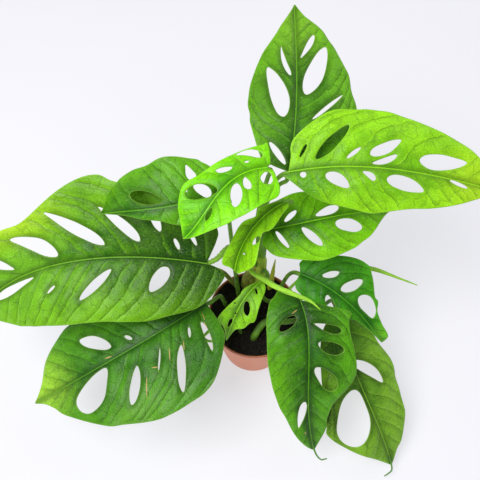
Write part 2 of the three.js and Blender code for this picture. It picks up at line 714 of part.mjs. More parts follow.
// The pot: its profile runs up the outside, over the lip and down the inside to the middle of the floor.
function pot() {
  const under = POT.height - POT.lipHeight;
  const profile = [
    [0, 0],
    [POT.foot - 2 * POT.round, 0],
    [wallRadius(2 * POT.round), 2 * POT.round],
    [wallRadius(under), under],
    [POT.mouth, under + POT.round],
    [POT.mouth, POT.height - POT.round],
    [POT.mouth - POT.round, POT.height],
    [POT.mouth - POT.lip + POT.round, POT.height],
    [POT.mouth - POT.lip, POT.height - POT.round],
    [wallRadius(under) - POT.wall, under],
    [wallRadius(POT.floor) - POT.wall, POT.floor],
    [0, POT.floor],
  ];
  const shell = lathe(profile, POT.sides);
  const drains = Array.from({ length: DRAIN.count }, (_, i) => {
    const angle = (2 * Math.PI * i) / DRAIN.count;
    const drain = new THREE.CylinderGeometry(DRAIN.radius, DRAIN.radius, 3 * POT.floor, DRAIN.sides);
    drain.rotateX(Math.PI / 2);
    return drain.translate(DRAIN.ring * Math.cos(angle), DRAIN.ring * Math.sin(angle), POT.floor / 2);
  });
  return cut(shell, drains);
}

// A turned solid about the Z axis, from a profile of [radius, height] that starts and ends on the axis.
function lathe(profile, sides) {
  const points = profile.map(([radius, height]) => new THREE.Vector2(radius, height));
  return new THREE.LatheGeometry(points, sides).rotateX(Math.PI / 2);
}

// The soil: it follows the inside of the pot, and its top rises and falls in low swells.
function soil(holes) {
  const bottom = POT.floor + GAP;
  const foot = [wallRadius(bottom) - POT.wall - GAP, bottom];
  const edge = [wallRadius(SOIL.level) - POT.wall - GAP, SOIL.level];
  const rings = Array.from({ length: SOIL.rings }, (_, i) => [(edge[0] * i) / SOIL.rings, SOIL.level]);
  const body = lathe([[0, bottom], foot, edge, ...rings.reverse()], SOIL.sides);
  const position = body.attributes.position;
  for (let i = 0; i < position.count; i += 1) {
    const [x, y, z] = [position.getX(i), position.getY(i), position.getZ(i)];
    const fromEdge = 1 - Math.hypot(x, y) / edge[0];
    if (z > SOIL.level - 1 && fromEdge > 0.01) {
      const swell = Math.sin(x / SOIL.swellLengths[0]) * Math.cos(y / SOIL.swellLengths[1]);
      position.setZ(i, z + SOIL.swell * (swell + fromEdge));
    }
  }
  return cut(body, holes);
}

const object = new THREE.Group();

function addMesh(name, geometry, colour, roughness) {
  const material = new THREE.MeshStandardMaterial({ color: colour, roughness, metalness: 0 });
  material.name = name;
  const mesh = new THREE.Mesh(geometry, material);
  mesh.name = name;
  object.add(mesh);
}

const trunks = [STEM.main, STEM.sheath];
const holes = trunks.map(({ path, radii }) => stemHole(stalk(path, wider(radii), STEM.sides)));
const stemPieces = trunks.map(({ path, radii }) => stalk(path, radii, STEM.sides));
stemPieces.push(stalk(STEM.rolledStalk.path, STEM.rolledStalk.radii));

for (const [name, leaf] of Object.entries(LEAVES)) {
  addMesh(name, blade(leaf), leaf.colour, 0.38);
  if (leaf.own) {
    addMesh(leaf.own, leafStalk(leaf), STEM.colour, 0.5);
    holes.push(stemHole(leafStalk(leaf, wider)));
  } else {
    stemPieces.push(leafStalk(leaf));
  }
}

for (const [name, shoot] of Object.entries(SHOOTS)) {
  const sides = shoot.ridged ? ROLLED.sides : STALK.sides;
  addMesh(name, stalk(shoot.path, shoot.radii, sides, shoot.ridged), shoot.colour, 0.5);
  if (shoot.path[0][2] === FOOT) {
    holes.push(stemHole(stalk(shoot.path, wider(shoot.radii), sides)));
  }
}

addMesh("main_stem", join(stemPieces), STEM.colour, 0.5);
addMesh("soil", soil(holes), SOIL_COLOUR, 1);
addMesh("pot", pot(), POT_COLOUR, 0.6);

export default object;
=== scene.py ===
"""Fine leaves, stems, pot and peat of a potted windowed-leaf vine, built round its frame.

Lengths in the tables are millimetres in the frame's own axes: +Z up, the front faces -Y.
"""

import bmesh
import bpy
import numpy as np
from bpy.props import FloatProperty, FloatVectorProperty, IntProperty, PointerProperty
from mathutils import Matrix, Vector


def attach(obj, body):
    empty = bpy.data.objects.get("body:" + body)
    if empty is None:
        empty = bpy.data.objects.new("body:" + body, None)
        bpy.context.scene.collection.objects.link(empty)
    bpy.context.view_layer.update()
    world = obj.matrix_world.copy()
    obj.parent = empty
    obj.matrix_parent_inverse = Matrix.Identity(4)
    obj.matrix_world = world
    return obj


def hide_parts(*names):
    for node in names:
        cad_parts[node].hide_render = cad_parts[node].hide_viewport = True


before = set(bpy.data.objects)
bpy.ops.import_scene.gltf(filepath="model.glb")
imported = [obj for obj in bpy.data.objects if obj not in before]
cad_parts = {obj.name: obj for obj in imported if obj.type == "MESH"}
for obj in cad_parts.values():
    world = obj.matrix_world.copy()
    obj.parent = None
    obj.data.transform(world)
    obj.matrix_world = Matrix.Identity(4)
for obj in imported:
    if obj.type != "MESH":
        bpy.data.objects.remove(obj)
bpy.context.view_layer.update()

bl_info = {
    "name": "Windowed Leaf Vine in a Nursery Pot",
    "version": (1, 0, 0),
    "blender": (4, 5, 0),
    "location": "View3D > Sidebar > Plant",
    "description": "Builds the fine leaves, stems, pot and peat of a potted windowed-leaf vine",
    "category": "Add Mesh",
}

MM = 0.001

# Feet of the stalks stand this high above the floor, in the peat.
FOOT = 72

POT = {"height": 96, "mouth": 52.5, "foot": 38.5, "wall": 1.4, "floor": 1.6, "lip": 1.9, "lip_height": 3}
DRAIN = {"count": 6, "radius": 4, "ring": 26}
SOIL = {"level": 93, "swell": 0.6, "swell_lengths": [6, 7]}
BLADE = {"keel": 1.2, "keel_start": 4, "keel_full": 14}
VEIN = {"lean": 0.2, "lean_growth": 1.3, "bow": 0.5}
STALK = {"radii": [2.7, 2.4, 2.1], "seat_ahead": 2, "knee_behind": 7, "knee_drop": 2.5, "seat_gap": 0.75}
DRIP_TIP = {"starts": [12, 4], "radii": [0.7, 1.1, 0.9, 0.7]}

# Each leaf is drawn in its own frame: s mm along the midrib from the stalk, t mm to the right of it.
# rib: the four points of the midrib's Bezier curve, in space. length: its length.
# face: the way that the upper side looks, at the base and at the tip.
# fold and curl: how the left and right halves rise from the midrib and bend back, in degrees at half mm out.
# left and right: the margin's points [s, width] from the base to the tip.
# veins: where the side veins leave the midrib, left and right.
# windows: holes [s, t, half length, half width, turn in degrees, egg shape, bend].
# stalk: the leaf stalk's points before the knee. own: its name, where it stands in the soil by itself.
# radii, knee and tail: the stalk's radii, the knee's place and a thread-like end, where a leaf has its own.
LEAVES = {
    "leaf_top": {
        "rib": [[31, 83, 255], [45, 149, 275], [41, 217, 290], [43, 287, 285]],
        "length": 208,
        "face": [[0, -0.5, 1], [0, -0.3, 1]],
        "half": 50,
        "fold": [10, 10],
        "curl": [25, 25],
        "left": [
            [3, 17], [8, 29], [45, 44], [58, 46], [73, 49], [100, 46], [130, 36], [149, 26], [193, 5],
        ],
        "right": [
            [8, 22], [27, 42], [52, 58], [75, 63], [92, 57], [115, 52], [148, 36], [172, 24],
            [188, 10],
        ],
        "veins": [[3, 20, 33, 42, 93, 124, 142, 164], [4, 22, 38, 53, 66, 113, 137, 155, 175]],
        "windows": [
            [86, -20, 30, 9.5, -17, -0.3, 2],
            [124, -12, 19, 2.5, -15, -0.6, -2],
            [143, 12, 17.5, 3, 26, 0.5, 1],
            [113, 20, 31, 9.5, 20, -0.2, 0],
            [72, 32, 22, 2, 45, -0.2, 0],
            [17, -14, 14, 3.5, -43, 0, 0],
        ],
        "stalk": [[6, 42, 138], [6, 51, 172], [5, 58, 205], [11, 67, 227], [23, 77, 243]],
    },
    "leaf_right_high": {
        "rib": [[30, 76, 265], [100, 84, 278], [169, 66, 275], [235, 63, 250]],
        "length": 209,
        "face": [[0, -0.3, 1], [0, -0.2, 1]],
        "half": 50,
        "fold": [12, 0],
        "curl": [15, 40],
        "left": [
            [4, 13], [10, 32], [42, 55], [64, 57], [79, 58], [108, 54], [144, 44], [170, 34],
            [197, 16],
        ],
        "right": [
            [-8, 1], [-2, 7], [14, 23], [33, 34], [64, 41], [85, 44], [118, 36], [143, 31], [170, 21],
        ],
        "veins": [[2, 14, 37, 58, 97, 148, 166, 184], [4, 21, 49, 61, 77, 117, 135, 148, 172, 190]],
        "windows": [
            [16, -18, 7.5, 1.5, -58, 0, 0],
            [42, -24, 22, 5.5, -46, -0.1, 1],
            [61, -13, 8.5, 2, -40, 0, 0],
            [90, -20, 16, 5.5, -32, -0.3, 1],
            [90, -8, 12.5, 3, -24, 0.2, 2],
            [146, -15, 23.5, 8, -9, -0.3, 1],
            [13, 5, 3, 3, 25, 0.1, 0],
            [46, 13, 13, 6, 30, -0.2, -1],
            [76, 8, 7.5, 3, 31, 0.5, -1],
            [112, 13, 19, 7, 10, -0.2, -1],
            [164, 3, 10, 2, 11, 0, 0],
        ],
        "stalk": [[9, 42, 138], [10, 51, 172], [7, 61, 205], [10, 69, 230], [17, 75, 248]],
    },
    "leaf_right_middle": {
        "rib": [[12, 50, 200], [56, 52, 210], [97, 69, 210], [142, 74, 195]],
        "length": 134,
        "face": [[0.1, -0.2, 1], [0.1, -0.2, 1]],
        "half": 40,
        "fold": [5, 5],
        "curl": [25, 25],
        "left": [[-1, 16], [6, 27], [43, 35], [91, 27], [113, 18]],
        "right": [
            [-4, 4], [-7, 14], [-3, 21], [7, 30], [37, 40], [52, 42], [82, 37], [96, 31], [108, 24],
            [129, 3],
        ],
        "veins": [[3, 12, 30, 44, 74, 90, 106], [2, 17, 41, 54, 86, 103]],
        "windows": [
            [26, -10, 9, 3, -33, 0, 0],
            [65, -7, 13.5, 4.5, -10, 0.4, 0],
            [13, 13, 11.5, 2.5, 63, 0, 0],
            [43, 16, 14, 4.5, 54, 0, 0],
            [84, 12, 14.5, 7.5, 18, 0, 0],
        ],
        "stalk": [[8, 40, 138], [8, 46, 162], [5, 49, 182]],
    },
    "leaf_centre_high": {
        "rib": [[8, 63, 290], [-37, 55, 297], [-43, 13, 285], [-68, 4, 262]],
        "length": 106,
        "face": [[-0.1, -0.2, 1], [-0.2, -0.3, 1]],
        "half": 40,
        "fold": [15, 10],
        "curl": [20, 20],
        "left": [[-6, 6], [-4, 31], [35, 37], [64, 27], [80, 16]],
        "right": [[-4, 5], [-4, 24], [2, 22], [21, 21], [48, 26], [63, 31], [83, 24], [96, 14]],
        "veins": [[7, 20.5, 38, 54, 74, 90], [13, 28, 54, 70, 86]],
        "windows": [
            [10, 16, 9.5, 3, 24, -0.7, 2],
            [31, 13, 7, 2.5, 32, 0, -1],
            [13, 9, 2, 1, 15, 0, 0],
            [58, 14, 15, 7.5, 46, 0.1, 1],
            [71, -4, 6.5, 2.5, -11, 0, 0],
            [41, -14, 13, 6, -36, -0.1, -1],
            [23, -11, 7, 4, -72, 0.5, 0],
            [2, -11, 7, 5.5, -74, 0.3, 0],
        ],
        "stalk": [[4, 41, 130], [3, 50, 174], [2, 60, 212], [6, 67, 240], [10, 67, 270]],
        "knee": [-5, 0, -6],
    },
    "leaf_young_folded": {
        "rib": [[30, 59, 240], [2, 47, 238], [-19, 23, 218], [-22, 6, 192]],
        "length": 94,
        "face": [[-0.2, -0.2, 1], [-0.2, -0.2, 1]],
        "half": 25,
        "fold": [30, 30],
        "curl": [10, 10],
        "left": [[1, 6], [7, 11], [26, 19], [34, 19], [43, 15], [70, 26], [92, 8]],
        "right": [[25, 9], [34, 6], [46, 12], [66, 12], [86, 14], [90, 5]],
        "veins": [[8, 26, 47, 67, 80], [8, 24, 40, 56, 72]],
        "windows": [
            [70, -7, 2.5, 1, 61, -0.1, 0],
            [51, -13, 5.5, 3, 12, -0.2, 0],
        ],
        "stalk": [[5, 41, 130], [5, 50, 174], [4, 60, 206], [14, 66, 220], [27, 66, 228]],
        "knee": [-5, 0, -6.5],
    },
    "leaf_left_high": {
        "rib": [[-34, 61, 256], [-76, 30, 266], [-127, 38, 258], [-156, 55, 222]],
        "length": 140,
        "face": [[0, -0.2, 1], [-0.1, -0.1, 1]],
        "half": 55,
        "fold": [-25, 20],
        "curl": [10, 15],
        "left": [[-5, 15], [15, 26], [47, 19], [62, 13], [82, 9], [102, 4]],
        "right": [
            [-6, 10], [-2, 23], [5, 32], [13, 39], [47, 47], [78, 42], [99, 39], [129, 25], [135, 18],
            [136, 9],
        ],
        "veins": [[4, 20, 38, 56, 76, 96, 114], [1, 21, 33, 46, 82, 100, 116]],
        "windows": [
            [76, 11, 19, 6.5, 15, 0.1, 0],
            [23, 27, 8, 5, 80, -0.5, 0],
            [17, 7, 9.5, 5.5, 47, -0.2, 1],
            [33, 11, 1.5, 1.5, 67, -0.1, 1],
        ],
        "stalk": [[-18, 22, FOOT], [-18, 22, 92], [-21, 33, 125], [-26, 51, 185], [-29, 61, 232]],
        "own": "stalk_left_high",
    },
    "leaf_left_big": {
        "rib": [[-49, 18, 185], [-148, 28, 202], [-258, 24, 187], [-306, -15, 118]],
        "length": 286,
        "face": [[0, -0.3, 1], [-0.1, -0.3, 1]],
        "half": 75,
        "fold": [5, 25],
        "curl": [25, 5],
        "left": [
            [-13, 4], [-18, 13], [1, 44], [36, 59], [59, 65], [99, 65], [161, 62], [215, 50],
            [240, 38], [272, 12],
        ],
        "right": [
            [1, 3], [-4, 25], [-3, 37], [11, 52], [50, 69], [86, 77], [101, 85], [124, 79], [169, 53],
            [193, 52],
            [206, 48], [235, 33], [262, 16],
        ],
        "veins": [
            [6, 20, 44, 60, 74, 97, 113, 127, 145, 165],
            [2, 14, 38, 66, 78, 103, 118, 152, 194, 212, 232],
        ],
        "windows": [
            [125, 34, 32.5, 6, 40, -0.4, -1],
            [168, 25, 25.5, 7.5, 37, -0.3, 2],
            [209, 19, 13, 4.5, 47, 0.5, -1],
            [84, 35, 25.5, 5, 45, -0.5, 1],
            [53, 40, 13.5, 4, 67, 0, 0],
            [32, 16, 6.5, 2, 64, 0, 0],
            [18, 24, 8.5, 2, 60, 0, 0],
            [112, -27, 23, 5, -38, 0, -1],
            [163, -24, 6.5, 1.5, -29, 0, 0],
            [212, -7, 30.5, 4.5, 0, 0.4, -2],
            [46, -22, 15, 7.5, -59, -0.2, 0],
        ],
        "stalk": [[2, 39, 118], [-7, 46, 150], [-18, 43, 177], [-29, 35, 187]],
        "radii": [2.8, 2.6, 2.6, 3.4, 3.2, 2.2],
        "knee": [-8, 7, -2.5],
    },
    "leaf_left_low": {
        "rib": [[-53, -6, 140], [-111, -50, 146], [-173, -77, 122], [-242, -97, 72]],
        "length": 226,
        "face": [[-0.1, 0, 1], [-0.1, -0.1, 1]],
        "half": 70,
        "fold": [8, 8],
        "curl": [20, 25],
        "left": [
            [3, 31], [9, 47], [34, 72], [51, 80], [67, 81], [85, 81], [105, 78], [133, 67], [151, 59],
            [188, 31],
            [200, 17], [212, 7],
        ],
        "right": [
            [5, 8], [20, 21], [47, 35], [76, 47], [109, 57], [137, 62], [160, 62], [182, 51],
            [198, 38], [213, 12],
        ],
        "veins": [
            [13, 37, 46, 59, 85, 99, 153, 170, 187],
            [6, 24, 42, 60, 77, 90, 117, 136, 156, 176, 196],
        ],
        "windows": [
            [134, 26, 21, 7, 37, 0, 1],
            [95, 12, 5, 2, 48, 0, 0],
            [151, -20, 25, 15, -34, 0.4, -2],
            [108, -37, 19.5, 5.5, -59, 0.2, -1],
            [75, -27, 12.5, 1, -61, 0, 0],
            [59, -47, 24, 4.5, -64, 0, 1],
            [34, -19, 6, 1.5, -64, 0, 0],
            [21, -33, 17.5, 3, -77, -0.2, -1],
        ],
        "stalk": [[-33, 11, FOOT], [-33, 11, 92], [-35, 9, 112], [-39, 5, 132]],
        "own": "stalk_left_low",
    },
    "leaf_front": {
        "rib": [[47, -7, 150], [64, -56, 152], [46, -98, 105], [66, -140, 38]],
        "length": 183,
        "face": [[0, -0.1, 1], [0, -0.3, 1]],
        "half": 45,
        "fold": [8, 8],
        "curl": [25, 25],
        "left": [
            [4, 5], [15, 24], [26, 48], [35, 45], [47, 45], [84, 50], [104, 48], [129, 28], [147, 20],
            [162, 17],
        ],
        "right": [
            [-13, 7], [-18, 16], [-13, 24], [-6, 33], [15, 41], [50, 43], [89, 42], [125, 33],
            [142, 25], [159, 18],
            [175, 8],
        ],
        "veins": [[4, 15, 32, 60, 95, 114, 132, 150], [5, 28, 44, 62, 80, 98, 114, 139, 158]],
        "windows": [
            [29, 20, 13, 6.5, 43, -0.2, 0],
            [140, 8, 15, 4, 17, -0.5, 0],
            [40, -21, 15.5, 4.5, -66, 0.6, 1],
            [63, -23, 14, 7, -69, 0.1, 1],
            [99, -18, 17, 8.5, -38, 0.1, -1],
        ],
        "tail": [[69, -145, 35], [74, -149, 32], [80, -148, 32]],
        "stalk": [[9, 22, FOOT], [9, 22, 91], [15, 8, 112], [26, 1, 130], [37, 1, 141]],
        "own": "stalk_front",
    },
    "leaf_front_right": {
        "rib": [[95, 0, 100], [99, -63, 96], [135, -104, 66], [156, -152, 14]],
        "length": 191,
        "face": [[0.2, -0.1, 1], [0.2, -0.3, 1]],
        "half": 45,
        "fold": [8, 8],
        "curl": [25, 25],
        "left": [[5, 19], [23, 32], [55, 41], [76, 47], [101, 46], [145, 38], [169, 22], [178, 11]],
        "right": [[24, 25], [92, 47], [113, 54], [124, 57], [145, 45], [158, 34], [168, 24]],
        "veins": [[6, 26, 48, 80, 98, 115, 132, 150], [6, 26, 44, 60, 130, 150, 168]],
        "windows": [
            [120, 23, 31.5, 20, 22, 0.2, 2],
            [79, -14, 24.5, 6.5, -34, -0.1, -4],
        ],
        "tail": [[156, -157, 12], [153, -160, 10], [148, -163, 9]],
        "stalk": [
            [-1, -28, FOOT], [-1, -28, 94], [12, -15, 107], [36, -17, 113], [63, -9, 113], [80, 6, 109],
            [88, 12, 104],
        ],
        "radii": [4.2, 4.2, 3.8, 3, 2.4, 2.2, 2.1],
        "own": "stalk_front_right",
    },
    "leaf_right_low": {
        "rib": [[49, 27, 143], [90, 10, 144], [120, -18, 128], [142, -34, 92]],
        "length": 128,
        "face": [[0.1, -0.4, 1], [0.1, -0.4, 1]],
        "half": 40,
        "fold": [10, 5],
        "curl": [10, 30],
        "left": [
            [-2, 6], [-4, 12], [5, 22], [37, 42], [53, 46], [60, 42], [78, 26], [85, 24], [93, 16],
            [109, 12],
            [126, 10],
        ],
        "right": [[2, 17], [32, 25], [55, 24], [72, 16], [84, 8]],
        "veins": [[4, 14, 27, 47, 88, 104], [8, 24, 47, 64, 82, 98]],
        "windows": [
            [29, -14, 9, 3.5, -45, 0, 1],
            [53, -17, 13, 5.5, -64, -0.1, 1],
            [81, -12, 14.5, 8, 11, -0.3, -2],
            [45, 12, 9, 4, 19, -0.2, 2],
        ],
        "stalk": [[26, 22, FOOT], [26, 22, 92], [32, 28, 115], [38, 32, 130]],
        "own": "stalk_right_low",
    },
    "leaf_small_lace": {
        "rib": [[8, 16, 150], [-18, -4, 152], [-26, -29, 132], [-32, -35, 100]],
        "length": 90,
        "face": [[-0.2, -0.3, 1], [-0.2, -0.3, 1]],
        "half": 20,
        "fold": [10, 10],
        "curl": [20, 20],
        "left": [[7, 12], [42, 22], [51, 18], [60, 14], [67, 6]],
        "right": [[5, 2], [21, 7], [31, 7], [64, 17], [69, 11], [75, 5]],
        "veins": [[6, 19, 40, 54, 66], [10, 24, 39, 72]],
        "windows": [
            [36.5, -8, 8.5, 3.8, -29, -0.1, 0],
            [13.6, -5, 4.8, 1.2, -56, -0.1, 0],
            [62.5, 2.3, 6.6, 1.9, 5, -0.3, 0],
            [48.5, 0.7, 1.5, 1, -20, -0.1, 0],
            [38, 6.6, 1.6, 0.9, -51, 0.2, 0],
        ],
        "stalk": [[5, 38, 122], [10, 33, 138], [13, 28, 144]],
    },
}

# The climbing stem, the old sheath at its side and the stalk of the long rolled leaf are one growth.
STEM = {
    "main": {"path": [[6, 36, FOOT], [6, 36, 94], [7, 39, 120], [7, 42, 146]], "radii": [6.5, 6.8, 6]},
    "sheath": {
        "path": [[-7, 37, FOOT], [-7, 37, 94], [-5, 39, 114], [3, 41, 132]],
        "radii": [7.2, 8, 6.8, 4],
    },
    "rolled_stalk": {"path": [[3, 40, 138], [-4, 35, 156], [-7, 25, 164]], "radii": [2.6, 2, 2]},
}

# Rolled new leaves and stumps, as points and radii. A ridged one shows the turns of the rolled blade.
SHOOTS = {
    "rolled_leaf_front": {
        "path": [
            [-7.2, 24.4, 164.5], [-7.2, 22, 166.2], [-3, 16, 167.5], [6, 10, 168], [20, -1, 171],
            [36, -9, 172],
            [56, -18, 171], [64, -25, 169],
        ],
        "radii": [1.8, 2.8, 3, 2.8, 2, 0.6],
        "ridged": True,
    },
    "rolled_leaf_right": {
        "path": [
            [34, 20, FOOT], [34, 20, 90], [44, 30, 106], [60, 40, 112], [95, 48, 118], [134, 47, 115],
            [169, 35, 112], [185, 29, 110],
        ],
        "radii": [2.2, 1.8, 1.8, 2.2, 3, 2.6, 1.6, 0.6],
        "ridged": True,
    },
    "rolled_leaf_upright": {
        "path": [[18, 33, FOOT], [18, 33, 90], [20, 37, 110], [23, 47, 136]],
        "radii": [3.6, 3.6, 3, 2.4, 0.6],
        "ridged": True,
    },
    "old_stalk": {
        "path": [[-20, 35, FOOT], [-20, 35, 90], [-27, 38, 103], [-35, 43, 112], [-42, 44, 118]],
        "radii": [2.8, 2.8, 2.4],
    },
    "curled_shoot": {
        "path": [
            [-34, -12, FOOT], [-34, -12, 94], [-43, -20, 108], [-53, -28, 107], [-57, -31, 101],
            [-53, -33, 96],
            [-47, -34, 97], [-44, -33, 101],
        ],
        "radii": [1.8, 1.8, 1.8, 1.8, 1.6, 1.2],
    },
    "cut_stub": {
        "path": [[-14, -25, FOOT], [-14, -25, 88], [-17, -20, 97]],
        "radii": [2.4, 2.2],
    },
}

# The record's material slot of each leaf.
SLOTS = {
    "leaf_top": "leaf_green",
    "leaf_right_middle": "leaf_green",
    "leaf_left_high": "leaf_green",
    "leaf_right_high": "leaf_lime",
    "leaf_centre_high": "leaf_lime",
    "leaf_young_folded": "leaf_lime",
    "leaf_small_lace": "leaf_lime",
    "leaf_left_big": "leaf_dark",
    "leaf_left_low": "leaf_dark",
    "leaf_front": "leaf_dark",
    "leaf_front_right": "leaf_dark",
    "leaf_right_low": "leaf_dark",
}

# Colours of each leaf, as sRGB bytes: inner near the midrib, and outer towards the margin.
# patches: [s, t, reach along, reach across, colour, strength], soft areas of another green, some of them
# painted shade.
# window_shade: the strength of the painted shade round the windows.
LEAF_GREENS = {
    "leaf_top": {
        "inner": (52, 115, 12),
        "outer": (104, 174, 24),
        "patches": [
            [170, 0, 70, 44, (148, 214, 50), 0.7],
            [6, 0, 76, 50, (38, 94, 12), 0.8],
            [76, -38, 60, 26, (84, 146, 26), 0.7],
        ],
    },
    "leaf_right_high": {
        "inner": (106, 184, 14),
        "outer": (150, 226, 26),
        "window_shade": 0.1,
        "patches": [[190, 0, 66, 60, (196, 246, 44), 0.85], [6, 22, 56, 36, (52, 136, 10), 0.8]],
    },
    "leaf_right_middle": {
        "inner": (66, 146, 12),
        "outer": (140, 224, 22),
        "window_shade": 0.15,
        "patches": [[112, 0, 56, 44, (152, 244, 27), 0.8], [0, -10, 40, 30, (77, 129, 14), 0.5]],
    },
    "leaf_centre_high": {
        "inner": (79, 179, 7),
        "outer": (134, 235, 11),
        "window_shade": 0.15,
        "patches": [[8, 0, 20, 40, (150, 246, 14), 0.5], [70, 16, 30, 16, (95, 195, 7), 0.6]],
    },
    "leaf_young_folded": {
        "inner": (88, 168, 11),
        "outer": (156, 239, 18),
        "window_shade": 0.1,
        "patches": [[10, 10, 30, 24, (92, 156, 14), 0.7]],
    },
    "leaf_left_high": {
        "inner": (48, 112, 13),
        "outer": (98, 170, 22),
        "window_shade": 0.25,
        "patches": [[20, 20, 40, 40, (121, 212, 22), 0.6], [80, -4, 40, 16, (44, 120, 13), 0.6]],
    },
    "leaf_left_big": {
        "inner": (52, 116, 12),
        "outer": (118, 184, 24),
        "patches": [
            [205, 0, 90, 80, (136, 212, 43), 0.65],
            [180, 56, 66, 38, (184, 232, 44), 0.9],
            [186, 60, 24, 14, (227, 250, 40), 0.9],
            [10, 0, 112, 92, (14, 62, 6), 0.95],
            [120, -64, 70, 20, (132, 202, 40), 0.6],
        ],
    },
    "leaf_left_low": {
        "inner": (38, 102, 12),
        "outer": (86, 156, 28),
        "patches": [
            [214, 8, 58, 60, (180, 236, 66), 0.9],
            [20, 24, 60, 54, (29, 90, 16), 0.75],
            [34, -50, 62, 50, (34, 98, 12), 0.8],
            [120, -64, 50, 26, (118, 176, 60), 0.5],
        ],
    },
    "leaf_front": {
        "inner": (34, 90, 12),
        "outer": (90, 166, 22),
        "patches": [
            [110, 34, 70, 22, (114, 191, 20), 0.75],
            [18, 0, 52, 58, (16, 66, 10), 0.85],
            [62, -6, 24, 20, (37, 110, 45), 0.5],
        ],
    },
    "leaf_front_right": {
        "inner": (70, 126, 22),
        "outer": (132, 188, 50),
        "patches": [
            [20, 0, 60, 60, (46, 106, 18), 0.7],
            [150, 0, 40, 50, (138, 194, 48), 0.5],
            # These two near-black patches are painted shade, where leaf_front hangs over this blade.
            [104, 46, 52, 20, (12, 48, 8), 0.95],
            [50, 14, 44, 26, (18, 62, 10), 0.9],
        ],
    },
    "leaf_right_low": {
        "inner": (38, 118, 14),
        "outer": (78, 172, 24),
        "patches": [[120, 0, 24, 30, (136, 230, 36), 0.8], [50, -30, 40, 18, (48, 120, 16), 0.6]],
    },
    "leaf_small_lace": {"inner": (92, 160, 14), "outer": (142, 212, 32), "patches": []},
}

# Healed tears, as [s, t, half length, half width, turn in degrees].
SCARS = {
    "leaf_left_low": [
        [98, -46, 13, 0.7, -66], [63, -28, 8, 0.7, -66], [82, -32, 0.8, 4.5, -62], [124, 4, 5, 0.8, 10],
        [46, -28, 7, 0.6, -66], [12, -12, 6, 0.6, -74], [16, -22, 5, 0.7, -80],
    ],
    "leaf_front": [[14, 10, 5, 0.8, 60], [160, 6, 1.6, 1, 10]],
    "leaf_left_big": [[190, 56, 3, 2, 20]],
}


def unit(vectors):
    """Vectors divided by their own length."""
    return vectors / np.linalg.norm(vectors, axis=-1, keepdims=True)


def ease(value, low, high):
    """Smooth step: 0 under low, 1 over high, and 3x^2 - 2x^3 between."""
    x = np.clip((value - low) / (high - low), 0, 1)
    return x * x * (3 - 2 * x)


def between(values, u):
    """Value at u, from 0 to 1, on the straight pieces through evenly spaced values."""
    return np.interp(u, np.linspace(0, 1, len(values)), values)


def bezier(corners, w):
    """Cubic Bezier curve and its direction.

    The four points are weighted by (1-w)^3, 3w(1-w)^2, 3w^2(1-w) and w^3.
    """
    p = np.array(corners, float)
    w = np.asarray(w, float)[..., None]
    v = 1 - w
    place = v**3 * p[0] + 3 * v**2 * w * p[1] + 3 * v * w**2 * p[2] + w**3 * p[3]
    run = v**2 * (p[1] - p[0]) + 2 * v * w * (p[2] - p[1]) + w**2 * (p[3] - p[2])
    return place, unit(run)


def leaf_frame(leaf, s):
    """Origin, ahead, right and up at s mm along the midrib, which runs on straight past either end."""
    w = np.clip(np.asarray(s, float) / leaf["length"], 0, 1)
    place, ahead = bezier(leaf["rib"], w)
    base, tip = np.array(leaf["face"], float)
    face = base + (tip - base) * w[..., None]
    right = unit(np.cross(ahead, face))
    up = np.cross(right, ahead)
    origin = place + ahead * (s - w * leaf["length"])[..., None]
    return origin, ahead, right, up


def leaf_place(leaf, s, t):
    """Point of a leaf's middle surface: each half rises from the midrib at its fold angle, less its curl."""
    origin, _, right, up = leaf_frame(leaf, s)
    side = (t > 0).astype(int)
    out = np.abs(t)
    bend = np.array(leaf["fold"], float)[side] - np.array(leaf["curl"], float)[side] * out / (
        2 * leaf["half"]
    )
    angle = np.radians(bend)
    return origin + right * (t * np.cos(angle))[..., None] + up * (out * np.sin(angle))[..., None]


def leaf_normal(leaf, s, t, reach=0.6):
    """Unit normal on the upper side, from the surface's steps along s and t."""
    ahead = leaf_place(leaf, s + reach, t) - leaf_place(leaf, s - reach, t)
    across = leaf_place(leaf, s, t + reach) - leaf_place(leaf, s, t - reach)
    return unit(np.cross(across, ahead))


def smooth_line(knots, steps):
    """Uniform Catmull-Rom curve through flat points, its end points taken twice, with steps points a span."""
    p = np.array([knots[0], *knots, knots[-1]], float)
    u = (np.arange(steps) / steps)[None, :, None]
    p0, p1, p2, p3 = (p[i:len(p) - 3 + i, None] for i in range(4))
    v1, v2 = (p2 - p0) / 2, (p3 - p1) / 2
    line = (2 * p1 - 2 * p2 + v1 + v2) * u**3 + (3 * p2 - 3 * p1 - 2 * v1 - v2) * u**2 + v1 * u + p1
    return np.vstack([line.reshape(-1, p.shape[1]), p[-1:]])


def margin_loop(leaf):
    """Closed outline of a blade in its own s and t: out along the right margin and back along the left."""
    sides = []
    for sign, points in ((1, leaf["right"]), (-1, leaf["left"])):
        knots = [[0, 0], *[[s, sign * width] for s, width in points], [leaf["length"], 0]]
        sides.append(smooth_line(knots, 14))
    return np.vstack([sides[0][:-1], sides[1][:0:-1]])


def window_loop(window, seed):
    """Outline of a window: the CAD's egg, bent along its length and turned, with a slightly uneven edge.

    The half width is wide sin a (1 + egg cos a), times |sin a| to a power that grows as the window gets
    narrower, so that slits end in points, and times a slow wave of up to one tenth that only draws it in.
    """
    s, t, long, wide, turn, egg, bend = window
    a = np.linspace(0, 2 * np.pi, 80, endpoint=False)
    narrow = max(0, 1 - 1.6 * wide / long)
    wave = 1 - 0.03 * (1 + np.sin(3 * a + seed)) - 0.02 * (1 + np.sin(5 * a + 2.3 * seed))
    x = long * np.cos(a)
    y = wide * np.sin(a) * (1 + egg * np.cos(a)) * np.abs(np.sin(a)) ** (0.4 * narrow) * wave
    y = y + bend * (np.sin(a) ** 2 - 0.5)
    c, d = np.cos(np.radians(turn)), np.sin(np.radians(turn))
    return np.stack([s + x * c - y * d, t + x * d + y * c], 1)


